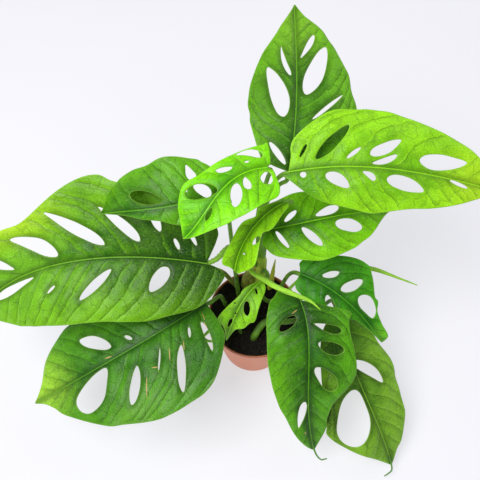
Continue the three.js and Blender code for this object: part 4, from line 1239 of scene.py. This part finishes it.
def leaf_material(name, settings):
    """Living blade: darker by the midrib, in its own green and in painted shade beside it, yellower by the
    margin, quilted between veins whose thin dark lines are painted shade; beside the veins lie painted shade
    and painted highlights, and round the windows painted shade.
    """
    look = LEAF_GREENS[name]
    material, n, shader, join = new_material(f"{name} living green")
    place = n.add("ShaderNodeUVMap", uv_map="flat").outputs["UV"]
    flat = n.add("ShaderNodeSeparateXYZ", {0: place}).outputs
    beside = n.maths("MULTIPLY", n.maths("ABSOLUTE", flat["Y"]), 100.0)
    rim, outness, under = n.value("rim"), n.value("outness"), n.value("under")
    wander = n.maths("SUBTRACT", n.noise(place, 4.5, 3.0, 0.6), 0.5)
    phase = n.maths("MULTIPLY_ADD", wander, 0.5, n.value("phase"))
    sockets = {"Phase": phase, "Gap": n.value("gap"), "Out": beside, "Width": settings.vein / MM}
    veins = n.effect(effect("veins"), sockets)
    net = n.effect(effect("net"), {"Place": place, "Size": 2.6})
    blotch = n.effect(effect("blotches"), {"Place": place, "Size": 15.0})["Blotch"]
    broad = n.effect(effect("blotches"), {"Place": place, "Size": 42.0})["Blotch"]

    reach = n.maths("MULTIPLY_ADD", n.maths("SUBTRACT", broad, 0.5), 0.45, outness)
    colour = n.mix(n.step(reach, 0.05, 0.95), srgb(*look["inner"]), srgb(*look["outer"]))
    dark = srgb(*[0.46 * c for c in look["inner"]])
    light = srgb(*[min(255, 1.15 * c + 6) for c in look["outer"]])
    colour = n.mix(n.maths("MULTIPLY", blotch, 0.28), colour, light)
    for s, t, long, wide, patch, strength in look["patches"]:
        sockets = {
            "Place": place, "Centre S": s, "Centre T": t, "Reach S": long, "Reach T": wide, "Softness": 0.95
        }
        mask = n.effect(effect("spot"), {**sockets, "Ragged": 0.5})["Mask"]
        colour = n.mix(n.maths("MULTIPLY", mask, strength), colour, srgb(*patch))
    away = n.step(beside, 1.2, 6.0)
    inland = n.step(rim, 0.4, 3.5)
    open_part = n.maths("MULTIPLY", away, inland)
    # Painted shade on one side of each vein and a painted highlight on the other, kept off the midrib and the
    # edges.
    shade = n.maths("MULTIPLY", veins["Shade"], open_part)
    glow = n.maths("MULTIPLY", veins["Glow"], open_part)
    # Painted shade of folds, in streaks beside the veins.
    colour = n.mix(n.maths("MULTIPLY", veins["Fold Shade"], 0.18), colour, dark)
    colour = n.mix(n.maths("MULTIPLY", shade, look.get("shade", 0.26)), colour, dark)
    colour = n.mix(n.maths("MULTIPLY", glow, 0.26), colour, light)
    # The side veins' thin dark lines are painted shade in their sunk grooves, fading in and out.
    fading = n.step(n.noise(place, 3.0, 2.0), 0.36, 0.62, 0.2, 0.7)
    colour = n.mix(n.maths("MULTIPLY", n.maths("MULTIPLY", veins["Line"], inland), fading), colour, dark)
    # Creases: thin sunk lines in the bump, with painted shade in them.
    ripple = n.maths("ABSOLUTE", n.maths("SUBTRACT", n.noise(place, 4.6, 1.5, 0.5), 0.5))
    crease_with_shade = n.maths("MULTIPLY", n.step(ripple, 0.0, 0.028, 1.0, 0.0), open_part)
    colour = n.mix(n.maths("MULTIPLY", crease_with_shade, 0.26), colour, dark)
    colour = n.mix(n.maths("MULTIPLY", net["Net"], 0.26), colour, dark)
    colour = n.mix(
        n.maths("MULTIPLY", n.step(n.noise(place, 52.0, 4.0, 0.65), 0.42, 0.68), 0.16), colour, light
    )
    # Painted shade round the windows, where their edges turn down, fading by 8 mm out and kept off the outer
    # margin.
    window_shade_mask = n.maths(
        "MULTIPLY", n.step(rim, 0.8, 8.0, look.get("window_shade", 0.4), 0.0), n.step(n.value("margin"), 7.0, 15.0)
    )
    colour = n.mix(window_shade_mask, colour, dark)
    # Painted shade in a soft band beside the midrib, darkest next to it.
    midrib_shade = n.maths("MULTIPLY", n.step(beside, 0.6, 7.5, 1.0, 0.0), 0.5)
    colour = n.mix(midrib_shade, colour, dark)
    rib = n.maths("MULTIPLY", n.step(beside, 0.3, 0.8, 1.0, 0.0), look.get("rib", 0.6))
    colour = n.mix(rib, colour, srgb(*[min(255, 1.05 * c + 6) for c in look["outer"]]))
    edge = n.maths("MULTIPLY", n.step(rim, 0.3, 0.8, 1.0, 0.0), look.get("edge", 0.35))
    colour = n.mix(edge, colour, srgb(*settings_bytes(settings.edge_colour)))
    specks = n.effect(effect("specks"), {"Place": place, "Scale": 34.0, "Share": 0.22})["Speck"]
    colour = n.mix(n.maths("MULTIPLY", specks, 0.35), colour, srgb(214, 226, 180))
    for s, t, long, wide, turn in SCARS.get(name, []):
        sockets = {"Place": place, "Centre S": s, "Centre T": t, "Reach S": long, "Reach T": wide}
        sockets.update({"Turn": float(np.radians(turn)), "Softness": 0.5, "Ragged": 0.9})
        mask = n.effect(effect("spot"), sockets)["Mask"]
        colour = n.mix(mask, colour, srgb(188, 158, 96))
    pale = n.mix(0.5, colour, srgb(150, 190, 108))
    colour = n.mix(under, colour, pale)
    fine = n.noise(place, 260.0, 2.0)
    rough = n.maths("MULTIPLY_ADD", blotch, 0.1, settings.roughness - 0.05)
    rough = n.maths("MULTIPLY_ADD", fine, 0.08, rough)
    rough = n.maths("MULTIPLY_ADD", under, 0.2, rough)
    height = n.maths("MULTIPLY_ADD", net["Cell"], 0.5, n.maths("MULTIPLY", fine, 0.25))
    height = n.maths("MULTIPLY_ADD", veins["Line"], -0.6, height)
    height = n.maths("MULTIPLY_ADD", crease_with_shade, -0.7, height)
    join(base_color=colour, roughness=rough, normal=bump(n, height, 0.7, 0.3))
    shader.inputs["Specular IOR Level"].default_value = 0.21
    return material


def settings_bytes(colour):
    """A colour property as sRGB bytes."""
    return [round(255 * c) for c in colour]


def stalk_material(name, low, high, streak, strength=0.4, rough=0.45, mottle=0.2):
    """Stalk skin: one colour by the soil and another above it, with fibre streaks and slow mottling."""
    material, n, shader, join = new_material(name)
    place = n.add("ShaderNodeUVMap", uv_map="flat").outputs["UV"]
    height = n.add("ShaderNodeSeparateXYZ", {0: n.add("ShaderNodeTexCoord").outputs["Object"]}).outputs["Z"]
    fibres = n.effect(effect("streaks"), {"Place": place, "Round": 8.0, "Along": 0.6})
    fine = n.effect(effect("streaks"), {"Place": place, "Round": 26.0, "Along": 1.4})
    rise = n.maths("MULTIPLY_ADD", n.maths("SUBTRACT", fibres["Slow"], 0.5), 0.03, height)
    colour = n.mix(n.step(rise, 0.092, 0.175), srgb(*low), srgb(*high))
    colour = n.mix(n.maths("MULTIPLY", fibres["Streak"], strength), colour, srgb(*streak))
    colour = n.mix(
        n.maths("MULTIPLY", fine["Streak"], 0.5 * strength), colour, srgb(*[0.7 * c for c in streak])
    )
    light = srgb(*[min(255, 1.15 * c + 12) for c in high])
    colour = n.mix(n.maths("MULTIPLY", fibres["Slow"], mottle), colour, light)
    specks = n.effect(effect("specks"), {"Place": place, "Scale": 9.0, "Share": 0.3})["Speck"]
    colour = n.mix(n.maths("MULTIPLY", specks, 0.5), colour, srgb(206, 196, 140))
    roughness = n.maths("MULTIPLY_ADD", fibres["Streak"], 0.15, rough - 0.05)
    join(base_color=colour, roughness=roughness, normal=bump(n, fine["Streak"], 0.6, 0.25))
    return material


def pot_material(settings):
    """Moulded salmon plastic: browner at the rim, with fine grain, scuffs and a little peat dust."""
    material, n, shader, join = new_material("moulded pot plastic")
    place = n.add("ShaderNodeTexCoord").outputs["Object"]
    at = n.add("ShaderNodeSeparateXYZ", {0: place}).outputs
    wall, rim = srgb(*settings_bytes(settings.wall_colour)), srgb(*settings_bytes(settings.rim_colour))
    slow, fine = n.noise(place, 28.0, 3.0), n.noise(place, 900.0, 2.0)
    radius = n.maths(
        "SQRT", n.maths("ADD", n.maths("MULTIPLY", at["X"], at["X"]), n.maths("MULTIPLY", at["Y"], at["Y"]))
    )
    top = n.maths("MULTIPLY", n.step(at["Z"], 0.0925, 0.0935), n.step(radius, 0.0495, 0.0502))
    colour = n.mix(top, wall, rim)
    colour = n.mix(n.maths("MULTIPLY", n.step(slow, 0.4, 0.7), 0.18), colour, srgb(236, 176, 150))
    dust = n.maths(
        "MULTIPLY", n.step(n.noise(place, 60.0, 5.0, 0.7), 0.52, 0.72), n.step(at["Z"], 0.084, 0.097)
    )
    colour = n.mix(n.maths("MULTIPLY", dust, 0.45), colour, srgb(92, 62, 46))
    scuffs = n.effect(effect("specks"), {"Place": place, "Scale": 210.0, "Share": 0.12})["Speck"]
    colour = n.mix(n.maths("MULTIPLY", scuffs, 0.4), colour, srgb(120, 78, 58))
    rough = n.maths("MULTIPLY_ADD", n.maths("ADD", dust, slow), 0.16, 0.36)
    join(base_color=colour, roughness=rough, normal=bump(n, fine, 0.35, 0.12))
    return material


def peat_material(name, settings, tone=False):
    """Damp peat: near black, with brown fibres. Loose crumbs take their tone from their own value."""
    material, n, shader, join = new_material(name)
    place = n.add("ShaderNodeTexCoord").outputs["Object"]
    dark, light = srgb(*settings_bytes(settings.dark_colour)), srgb(*settings_bytes(settings.light_colour))
    crumb, fine = n.noise(place, 420.0, 4.0, 0.65), n.noise(place, 1700.0, 3.0)
    share = n.step(crumb, 0.42, 0.72)
    if tone:
        share = n.maths("MULTIPLY_ADD", n.value("tone"), 0.8, n.maths("MULTIPLY", share, 0.3))
    colour = n.mix(share, dark, light)
    specks = n.effect(effect("specks"), {"Place": place, "Scale": 260.0, "Share": 0.1})["Speck"]
    colour = n.mix(n.maths("MULTIPLY", specks, 0.6), colour, srgb(150, 120, 86))
    rough = n.maths("MULTIPLY_ADD", fine, 0.2, 0.72)
    relief = n.maths("MULTIPLY_ADD", fine, 0.5, crumb)
    join(base_color=colour, roughness=rough, normal=bump(n, relief, 0.9, 0.8))
    shader.inputs["Specular IOR Level"].default_value = 0.2
    return material


def floor_material(settings):
    """Pale matt sweep, with the faintest unevenness."""
    material, n, shader, join = new_material("pale sweep")
    place = n.add("ShaderNodeTexCoord").outputs["Object"]
    cloud = n.noise(place, 1.2, 2.0)
    pale = srgb(*settings_bytes(settings.floor_colour))
    join(
        base_color=n.mix(n.maths("MULTIPLY", cloud, 0.15), pale, srgb(238, 238, 244)),
        roughness=n.step(cloud, 0.0, 1.0, 0.7, 0.8),
    )
    shader.inputs["Specular IOR Level"].default_value = 0.1
    shader.inputs["Emission Color"].default_value = (0.95, 0.95, 1.0, 1.0)
    shader.inputs["Emission Strength"].default_value = settings.glow
    return material


def turned_body(profile, sides):
    """A round body: profile points of radius and height turned about Z, closed at both ends on the axis."""
    r, z = np.array(profile, float).T
    angle = np.linspace(0, 2 * np.pi, sides + 1)
    grid = np.stack(
        np.broadcast_arrays(r[:, None] * np.cos(angle), r[:, None] * np.sin(angle), z[:, None]), 2
    )
    flat = np.stack(np.broadcast_arrays(angle[None, :], np.arange(len(r))[:, None] / 10), 2)
    return grid.reshape(-1, 3), grid_faces(len(r), sides + 1), flat.reshape(-1, 2)


def rounded(corners, radius, steps=5):
    """A profile whose inner corners are rounded: each gives way to a curve between points beside it."""
    c = np.array(corners, float)
    parts = [c[:1]]
    u = np.linspace(0, 1, steps)[:, None]
    for before, here, after in zip(c[:-2], c[1:-1], c[2:]):
        reach = min(radius, np.linalg.norm(before - here) / 2.2, np.linalg.norm(after - here) / 2.2)
        a, b = here + unit(before - here) * reach, here + unit(after - here) * reach
        parts.append((1 - u) ** 2 * a + 2 * u * (1 - u) * here + u**2 * b)
    return np.vstack([*parts, c[-1:]])


def cut_away(mesh, cutters):
    """Takes closed cutter meshes out of a mesh, and hands back the result as a mesh of its own."""
    body = bpy.data.objects.new("body", mesh)
    tool = bpy.data.objects.new("tool", cutters)
    for item in (body, tool):
        bpy.context.scene.collection.objects.link(item)
    cut = body.modifiers.new("cut", "BOOLEAN")
    cut.operation, cut.solver, cut.object = "DIFFERENCE", "EXACT", tool
    bpy.context.view_layer.update()
    done = bpy.data.meshes.new_from_object(body.evaluated_get(bpy.context.evaluated_depsgraph_get()))
    for item in (body, tool):
        data = item.data
        bpy.data.objects.remove(item)
        bpy.data.meshes.remove(data)
    return done


def joined(parts):
    """Points and faces of several parts as one."""
    starts = np.cumsum([0] + [len(points) for points, _ in parts[:-1]])
    return np.vstack([p for p, _ in parts]), np.vstack([f + start for (_, f), start in zip(parts, starts)])


class BladeSettings(bpy.types.PropertyGroup):
    """Sizes and colours of the leaf blades."""

    thickness: FloatProperty(
        name="Thickness", description="Thickness of a blade", default=0.00055, unit="LENGTH"
    )
    edge: FloatProperty(
        name="Edge", description="Thickness at a margin or window", default=0.0002, unit="LENGTH"
    )
    step: FloatProperty(
        name="Grid Step", description="Size of the blade's triangles", default=0.0011, unit="LENGTH"
    )
    quilt: FloatProperty(
        name="Quilting", description="Height of the panels between veins", default=0.00065, unit="LENGTH"
    )
    swell: FloatProperty(
        name="Swells", description="Height of slow swells over a blade", default=0.0019, unit="LENGTH"
    )
    wave: FloatProperty(
        name="Margin Wave", description="Height of the waves along a margin", default=0.0005, unit="LENGTH"
    )
    vein: FloatProperty(
        name="Vein Width", description="Half width of a side vein's line", default=0.00055, unit="LENGTH"
    )
    roughness: FloatProperty(
        name="Roughness", description="Roughness of the upper side", default=0.34, subtype="FACTOR"
    )
    edge_colour: FloatVectorProperty(
        name="Margin", description="Colour of the thin margins", subtype="COLOR_GAMMA", default=(
            0.64, 0.82, 0.33
        )
    )


class StemSettings(bpy.types.PropertyGroup):
    """Colours and fineness of the stems, stalks and rolled leaves."""

    step: FloatProperty(
        name="Ring Step", description="Gap between rings along a stalk", default=0.0015, unit="LENGTH"
    )
    sides: IntProperty(name="Sides", description="Points round a stalk", default=28, min=12, max=64)
    stalk_colour: FloatVectorProperty(
        name="Stalks", description="Colour of the leaf stalks", subtype="COLOR_GAMMA", default=(
            0.5, 0.74, 0.17
        )
    )
    # The default is brightened past the stem's own green, as painted light against the shade that the leaves
    # cast on it.
    trunk_colour: FloatVectorProperty(
        name="Stem", description="Colour of the climbing stem", subtype="COLOR_GAMMA", default=(
            0.8, 0.95, 0.28
        )
    )
    # The default is brightened past the sheath's own colour, as painted light against the shade that the
    # leaves cast on it.
    sheath_colour: FloatVectorProperty(
        name="Sheath", description="Colour of the old sheath", subtype="COLOR_GAMMA", default=(
            0.74, 0.78, 0.26
        )
    )
    rolled_colour: FloatVectorProperty(
        name="Rolled Leaves", description="Colour of the rolled leaves", subtype="COLOR_GAMMA", default=(
            0.66, 0.93, 0.2
        )
    )


class PotSettings(bpy.types.PropertyGroup):
    """Fineness and colours of the pot."""

    sides: IntProperty(name="Sides", description="Points round the pot", default=192, min=48, max=360)
    wall_colour: FloatVectorProperty(
        name="Wall", description="Colour of the wall", subtype="COLOR_GAMMA", default=(0.92, 0.5, 0.31)
    )
    rim_colour: FloatVectorProperty(
        name="Rim", description="Colour of the rim", subtype="COLOR_GAMMA", default=(0.7, 0.4, 0.27)
    )


class SoilSettings(bpy.types.PropertyGroup):
    """Crumbs and colours of the peat."""

    crumbs: IntProperty(name="Crumbs", description="Loose crumbs on top", default=900, min=0, max=3000)
    dark_colour: FloatVectorProperty(
        name="Damp Peat", description="Colour of damp peat", subtype="COLOR_GAMMA", default=(
            0.035, 0.032, 0.03
        )
    )
    light_colour: FloatVectorProperty(
        name="Dry Crumbs", description="Colour of dry crumbs", subtype="COLOR_GAMMA", default=(
            0.16, 0.12, 0.09
        )
    )


class StageSettings(bpy.types.PropertyGroup):
    """Floor and lights."""

    floor_colour: FloatVectorProperty(
        name="Floor", description="Colour of the floor", subtype="COLOR_GAMMA", default=(0.60, 0.60, 0.62)
    )
    glow: FloatProperty(name="Floor Glow", description="Strength of the floor's own light", default=0.6)
    sky: FloatProperty(name="Sky Light", description="Strength of the even light from all round", default=0.3)
    key: FloatProperty(
        name="Key Light",
        description="Power of the large soft light",
        default=29.0,
        subtype="POWER",
        unit="POWER",
    )
    fill: FloatProperty(
        name="Fill Light",
        description="Power of the light behind",
        default=5.0,
        subtype="POWER",
        unit="POWER",
    )


class VineSettings(bpy.types.PropertyGroup):
    """All settings of the potted vine."""

    blades: PointerProperty(type=BladeSettings)
    stems: PointerProperty(type=StemSettings)
    pot: PointerProperty(type=PotSettings)
    soil: PointerProperty(type=SoilSettings)
    stage: PointerProperty(type=StageSettings)


class VINE_OT_pot(bpy.types.Operator):
    """Build the thin-walled pot with its rounded rim and six drain holes"""

    bl_idname = "vine.pot"
    bl_label = "Pot"

    def execute(self, context):
        settings = context.scene.vine.pot
        inner, shelf = POT["mouth"] - POT["lip"], POT["height"] - POT["lip_height"]
        profile = [
            [0, 1.0], [POT["foot"] - 6, 1.0], [POT["foot"] - 5, 0], [POT["foot"], 0], [
                wall_radius(shelf), shelf
            ],
            [POT["mouth"], shelf + 0.3], [POT["mouth"], POT["height"]], [inner, POT["height"]],
            [wall_radius(shelf) - POT["wall"], shelf - 1], [wall_radius(2) - POT["wall"], POT["floor"] + 1],
            [0, POT["floor"] + 1],
        ]
        points, faces, flat = turned_body(rounded(profile, 0.8), settings.sides)
        mesh = make_mesh("pot_shell", points, faces, flat)
        holes = []
        for k in range(DRAIN["count"]):
            a = 2 * np.pi * (k + 0.5) / DRAIN["count"]
            hole, hole_faces, _ = turned_body(
                [[0, -3], [DRAIN["radius"], -3], [DRAIN["radius"], 6], [0, 6]], 32
            )
            holes.append((hole + [DRAIN["ring"] * np.cos(a), DRAIN["ring"] * np.sin(a), 0], hole_faces))
        mesh = cut_away(mesh, make_mesh("holes", *joined(holes)))
        mesh.name = "pot_shell"
        add_piece("pot_shell", mesh, pot_material(settings), "terracotta_plastic", "pot")
        return {"FINISHED"}


class VINE_OT_soil(bpy.types.Operator):
    """Build the peat as one closed body with a crumbly top, and the loose crumbs on it"""

    bl_idname = "vine.soil"
    bl_label = "Peat"

    def execute(self, context):
        settings = context.scene.vine.soil
        edge = wall_radius(SOIL["level"]) - POT["wall"] - 0.2
        sides = 260
        angle = np.linspace(0, 2 * np.pi, sides + 1)
        low = wall_radius(3) - POT["wall"] - 0.2
        r = np.concatenate([[0], np.linspace(low, edge, 6)[:-1], np.linspace(edge, 0, 120)])
        z = np.concatenate([[3], np.linspace(3, SOIL["level"] - 4, 5), np.zeros(120)])
        x, y = r[:, None] * np.cos(angle), r[:, None] * np.sin(angle)
        top = (np.arange(len(r)) >= 6)[:, None]
        height = np.where(top, peat_top(x, y), z[:, None])
        grid = np.stack([x, y, height], 2)
        flat = np.stack([x, y], 2) / 10
        mesh = make_mesh("peat_body", grid.reshape(-1, 3), grid_faces(len(r), sides + 1), flat.reshape(-1, 2))
        add_piece("peat_body", mesh, peat_material("damp peat", settings), "peat", "soil")
        self.crumbs(settings, edge)
        return {"FINISHED"}

    def crumbs(self, settings, edge):
        """Loose crumbs: twelve-cornered lumps stretched by chance and half sunk in the peat's top."""
        chance = np.random.default_rng(11)
        count = settings.crumbs
        g = (1 + 5**0.5) / 2
        lump = np.array([
            [-1, g, 0], [1, g, 0], [-1, -g, 0], [1, -g, 0], [0, -1, g], [0, 1, g], [0, -1, -g], [0, 1, -g],
            [g, 0, -1], [g, 0, 1], [-g, 0, -1], [-g, 0, 1],
        ]) / 1.9
        lump_faces = np.array([
            [0, 11, 5], [0, 5, 1], [0, 1, 7], [0, 7, 10], [0, 10, 11], [1, 5, 9], [5, 11, 4], [11, 10, 2],
            [10, 7, 6], [7, 1, 8], [3, 9, 4], [3, 4, 2], [3, 2, 6], [3, 6, 8], [3, 8, 9], [4, 9, 5],
            [2, 4, 11], [6, 2, 10], [8, 6, 7], [9, 8, 1],
        ])
        size = 0.35 + 1.1 * chance.random((count, 1, 1)) ** 3
        stretch = np.where(chance.random((count, 1, 1)) < 0.12, 3.2, 1.2)
        shape = lump * (1 + 0.25 * chance.standard_normal((count, 12, 3))) * size
        shape[..., :1] *= stretch
        turn = np.linalg.qr(chance.standard_normal((count, 3, 3)))[0]
        turn *= np.sign(np.linalg.det(turn))[:, None, None]
        shape = shape @ turn
        r, a = (edge - 2.5) * np.sqrt(chance.random(count)), 2 * np.pi * chance.random(count)
        x, y = r * np.cos(a), r * np.sin(a)
        base = np.stack([x, y, peat_top(x, y) + 0.25 * size[:, 0, 0]], 1)
        points = (shape + base[:, None]).reshape(-1, 3)
        faces = (lump_faces + 12 * np.arange(count)[:, None, None]).reshape(-1, 3)
        tone = np.repeat(chance.random(count) ** 3, 12)
        mesh = make_mesh("peat_crumbs", points, faces, points[:, :2] / 10, {"tone": tone}, merge=False)
        add_piece("peat_crumbs", mesh, peat_material("loose crumbs", settings, tone=True), "peat", "soil")


def add_tube(name, path, radii, section, material, settings, slot, node, sides=None, ends=(1.0, 1.0)):
    """Makes a tube's mesh along a path and adds it as a piece that stands for its node."""
    points, faces, flat = tube(path, radii, section, settings.step / MM, sides or settings.sides, ends)
    return add_piece(name, make_mesh(name, points, faces, flat), material, slot, node)


class VINE_OT_stems(bpy.types.Operator):
    """Build the climbing stem, the old sheath and every leaf stalk up to its blade"""

    bl_idname = "vine.stems"
    bl_label = "Stem and Stalks"

    def execute(self, context):
        settings = context.scene.vine.stems
        trunk = settings_bytes(settings.trunk_colour)
        stalk = settings_bytes(settings.stalk_colour)
        sheath = settings_bytes(settings.sheath_colour)
        deep = [0.55 * c for c in stalk]
        green = stalk_material("stalk skin", [0.62 * c for c in stalk], stalk, deep)
        # The stem's and the sheath's colours are brightened past their own, as painted light in the shade of
        # the leaves.
        olive = stalk_material("stem skin", [0.92 * c for c in trunk], trunk, [92, 100, 34], 0.45, 0.55)
        fibrous = stalk_material(
            "old sheath", [0.8 * c for c in sheath], sheath, [70, 52, 30], 0.75, 0.65, 0.35
        )
        main, side, rolled = STEM["main"], STEM["sheath"], STEM["rolled_stalk"]
        add_tube(
            "stem_trunk",
            main["path"],
            main["radii"],
            trunk_section,
            olive,
            settings,
            "stem",
            "main_stem",
            48,
        )
        add_tube(
            "stem_sheath",
            side["path"],
            side["radii"],
            sheath_section,
            fibrous,
            settings,
            "stem",
            "main_stem",
            72,
        )
        add_tube(
            "stem_rolled_stalk",
            rolled["path"],
            rolled["radii"],
            stalk_section,
            green,
            settings,
            "stem",
            "main_stem",
        )
        wart = stalk_material("knobbly stalk skin", stalk, stalk, [104, 104, 40], 0.5, 0.5, 0.45)
        for name, leaf in LEAVES.items():
            node = leaf.get("own", "main_stem")
            big = name == "leaf_left_big"
            look, section = (wart, knobbly_section) if big else (green, stalk_section)
            radii = leaf.get("radii", STALK["radii"])
            piece = name.replace("leaf", "petiole")
            add_tube(
                piece, leaf_stalk_points(leaf), radii, section, look, settings, "stem", node, 32, (1.0, 2.5)
            )
        for name in ("old_stalk", "cut_stub"):
            shoot = SHOOTS[name]
            look = green if name == "cut_stub" else fibrous
            add_tube(
                f"{name}_skin", shoot["path"], shoot["radii"], trunk_section, look, settings, "stem", name
            )
        return {"FINISHED"}


class VINE_OT_rolled(bpy.types.Operator):
    """Build the rolled new leaves and the curled shoot"""

    bl_idname = "vine.rolled"
    bl_label = "Rolled Leaves"

    def execute(self, context):
        settings = context.scene.vine.stems
        colour = settings_bytes(settings.rolled_colour)
        fresh = stalk_material(
            "rolled leaf skin", [0.9 * c for c in colour], colour, [0.6 * c for c in colour], 0.35, 0.4
        )
        # The upright rolled leaf stands in the shade under the leaves; its olive colours are brightened past
        # its own, as painted light.
        olive = stalk_material(
            "brightened upright rolled leaf skin", [222, 226, 72], [236, 234, 90], [150, 152, 54], 0.35, 0.45
        )
        for name, shoot in SHOOTS.items():
            if "ridged" in shoot:
                section, ends = rolled_section, (1.0, 3.0)
            elif name == "curled_shoot":
                section, ends = plain_section, (1.0, 1.0)
            else:
                continue
            look = olive if name == "rolled_leaf_upright" else fresh
            path, radii = shoot["path"], shoot["radii"]
            add_tube(f"{name}_roll", path, radii, section, look, settings, "rolled_leaf", name, 56, ends)
        return {"FINISHED"}


class VINE_OT_blades(bpy.types.Operator):
    """Build the twelve windowed leaf blades with their veins, keels and drip tips"""

    bl_idname = "vine.blades"
    bl_label = "Leaf Blades"

    def execute(self, context):
        settings = context.scene.vine.blades
        tip = None
        for name, leaf in LEAVES.items():
            points, faces, values, flat = blade(name, leaf, settings)
            mesh = make_mesh(f"{name}_blade", points, faces, flat, values, merge=False)
            add_piece(f"{name}_blade", mesh, leaf_material(name, settings), SLOTS[name], name)
            if "tail" in leaf:
                if tip is None:
                    tip = stalk_material("drip tip skin", (90, 150, 50), (110, 170, 60), (60, 110, 40))
                starts = np.array([leaf["length"] - back for back in DRIP_TIP["starts"]], float)
                path = [*leaf_place(leaf, starts, np.zeros(2)), *leaf["tail"]]
                stems = context.scene.vine.stems
                add_tube(
                    f"{name}_drip_tip",
                    path,
                    DRIP_TIP["radii"],
                    plain_section,
                    tip,
                    stems,
                    SLOTS[name],
                    name,
                    12,
                )
        return {"FINISHED"}


class VINE_OT_stage(bpy.types.Operator):
    """Set the pale floor, the soft lights and the camera"""

    bl_idname = "vine.stage"
    bl_label = "Floor, Lights and Camera"

    def execute(self, context):
        scene, settings = context.scene, context.scene.vine.stage
        mesh = bpy.data.meshes.new("floor_sweep")
        mesh.from_pydata([(-20, -20, 0), (20, -20, 0), (20, 20, 0), (-20, 20, 0)], [], [(0, 1, 2, 3)])
        mesh.materials.append(floor_material(settings))
        sweep = bpy.data.objects.new("floor_sweep", mesh)
        scene.collection.objects.link(sweep)
        world = bpy.data.worlds.new("soft sky")
        world.use_nodes = True
        sky = world.node_tree.nodes["Background"].inputs
        sky["Color"].default_value = (0.96, 0.97, 1.0, 1.0)
        sky["Strength"].default_value = settings.sky
        scene.world = world
        for name, power, size, place, target in (
            ("key_light", settings.key, 1.0, (-0.7, -0.35, 1.7), (0.0, 0.02, 0.15)),
            ("fill_light", settings.fill, 1.2, (0.9, 0.9, 1.4), (0.0, 0.02, 0.15)),
        ):
            lamp = bpy.data.lights.new(name, "AREA")
            lamp.energy, lamp.size, lamp.color = power, size, (1.0, 0.985, 0.96)
            light = bpy.data.objects.new(name, lamp)
            light.location = place
            aim = Vector(target) - Vector(place)
            light.rotation_euler = aim.to_track_quat("-Z", "Y").to_euler()
            scene.collection.objects.link(light)
        lens = bpy.data.cameras.new("view")
        lens.lens, lens.sensor_width = 45, 36
        lens.dof.use_dof = False
        camera = bpy.data.objects.new("view", lens)
        camera.location = (-0.0165, -0.2591, 0.7353)
        camera.rotation_euler = (np.radians(29), 0, 0)
        scene.collection.objects.link(camera)
        scene.camera = camera
        scene.view_settings.view_transform = "Standard"
        return {"FINISHED"}


class VINE_PT_panel(bpy.types.Panel):
    """Settings and buttons of the potted vine"""

    bl_idname = "VINE_PT_panel"
    bl_label = "Potted Vine"
    bl_space_type = "VIEW_3D"
    bl_region_type = "UI"
    bl_category = "Plant"

    def draw(self, context):
        settings = context.scene.vine
        for part, operators in PANEL_PARTS:
            box = self.layout.box()
            group = getattr(settings, part)
            for key in group.__annotations__:
                box.prop(group, key)
            for operator in operators:
                box.operator(operator)


PANEL_PARTS = [
    ("pot", ["vine.pot"]),
    ("soil", ["vine.soil"]),
    ("stems", ["vine.stems", "vine.rolled"]),
    ("blades", ["vine.blades"]),
    ("stage", ["vine.stage"]),
]

CLASSES = [
    BladeSettings, StemSettings, PotSettings, SoilSettings, StageSettings, VineSettings,
    VINE_OT_pot, VINE_OT_soil, VINE_OT_stems, VINE_OT_rolled, VINE_OT_blades, VINE_OT_stage, VINE_PT_panel,
]


def register():
    """Registers the classes and puts the plant's settings on the scene."""
    for item in CLASSES:
        bpy.utils.register_class(item)
    bpy.types.Scene.vine = PointerProperty(type=VineSettings)


def unregister():
    """Takes the settings off the scene and removes the classes."""
    del bpy.types.Scene.vine
    for item in reversed(CLASSES):
        bpy.utils.unregister_class(item)


def main():
    """Builds every piece in order."""
    register()
    for _, operators in PANEL_PARTS:
        for operator in operators:
            group, name = operator.split(".")
            getattr(getattr(bpy.ops, group), name)()
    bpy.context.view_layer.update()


if __name__ == "__main__":
    main()
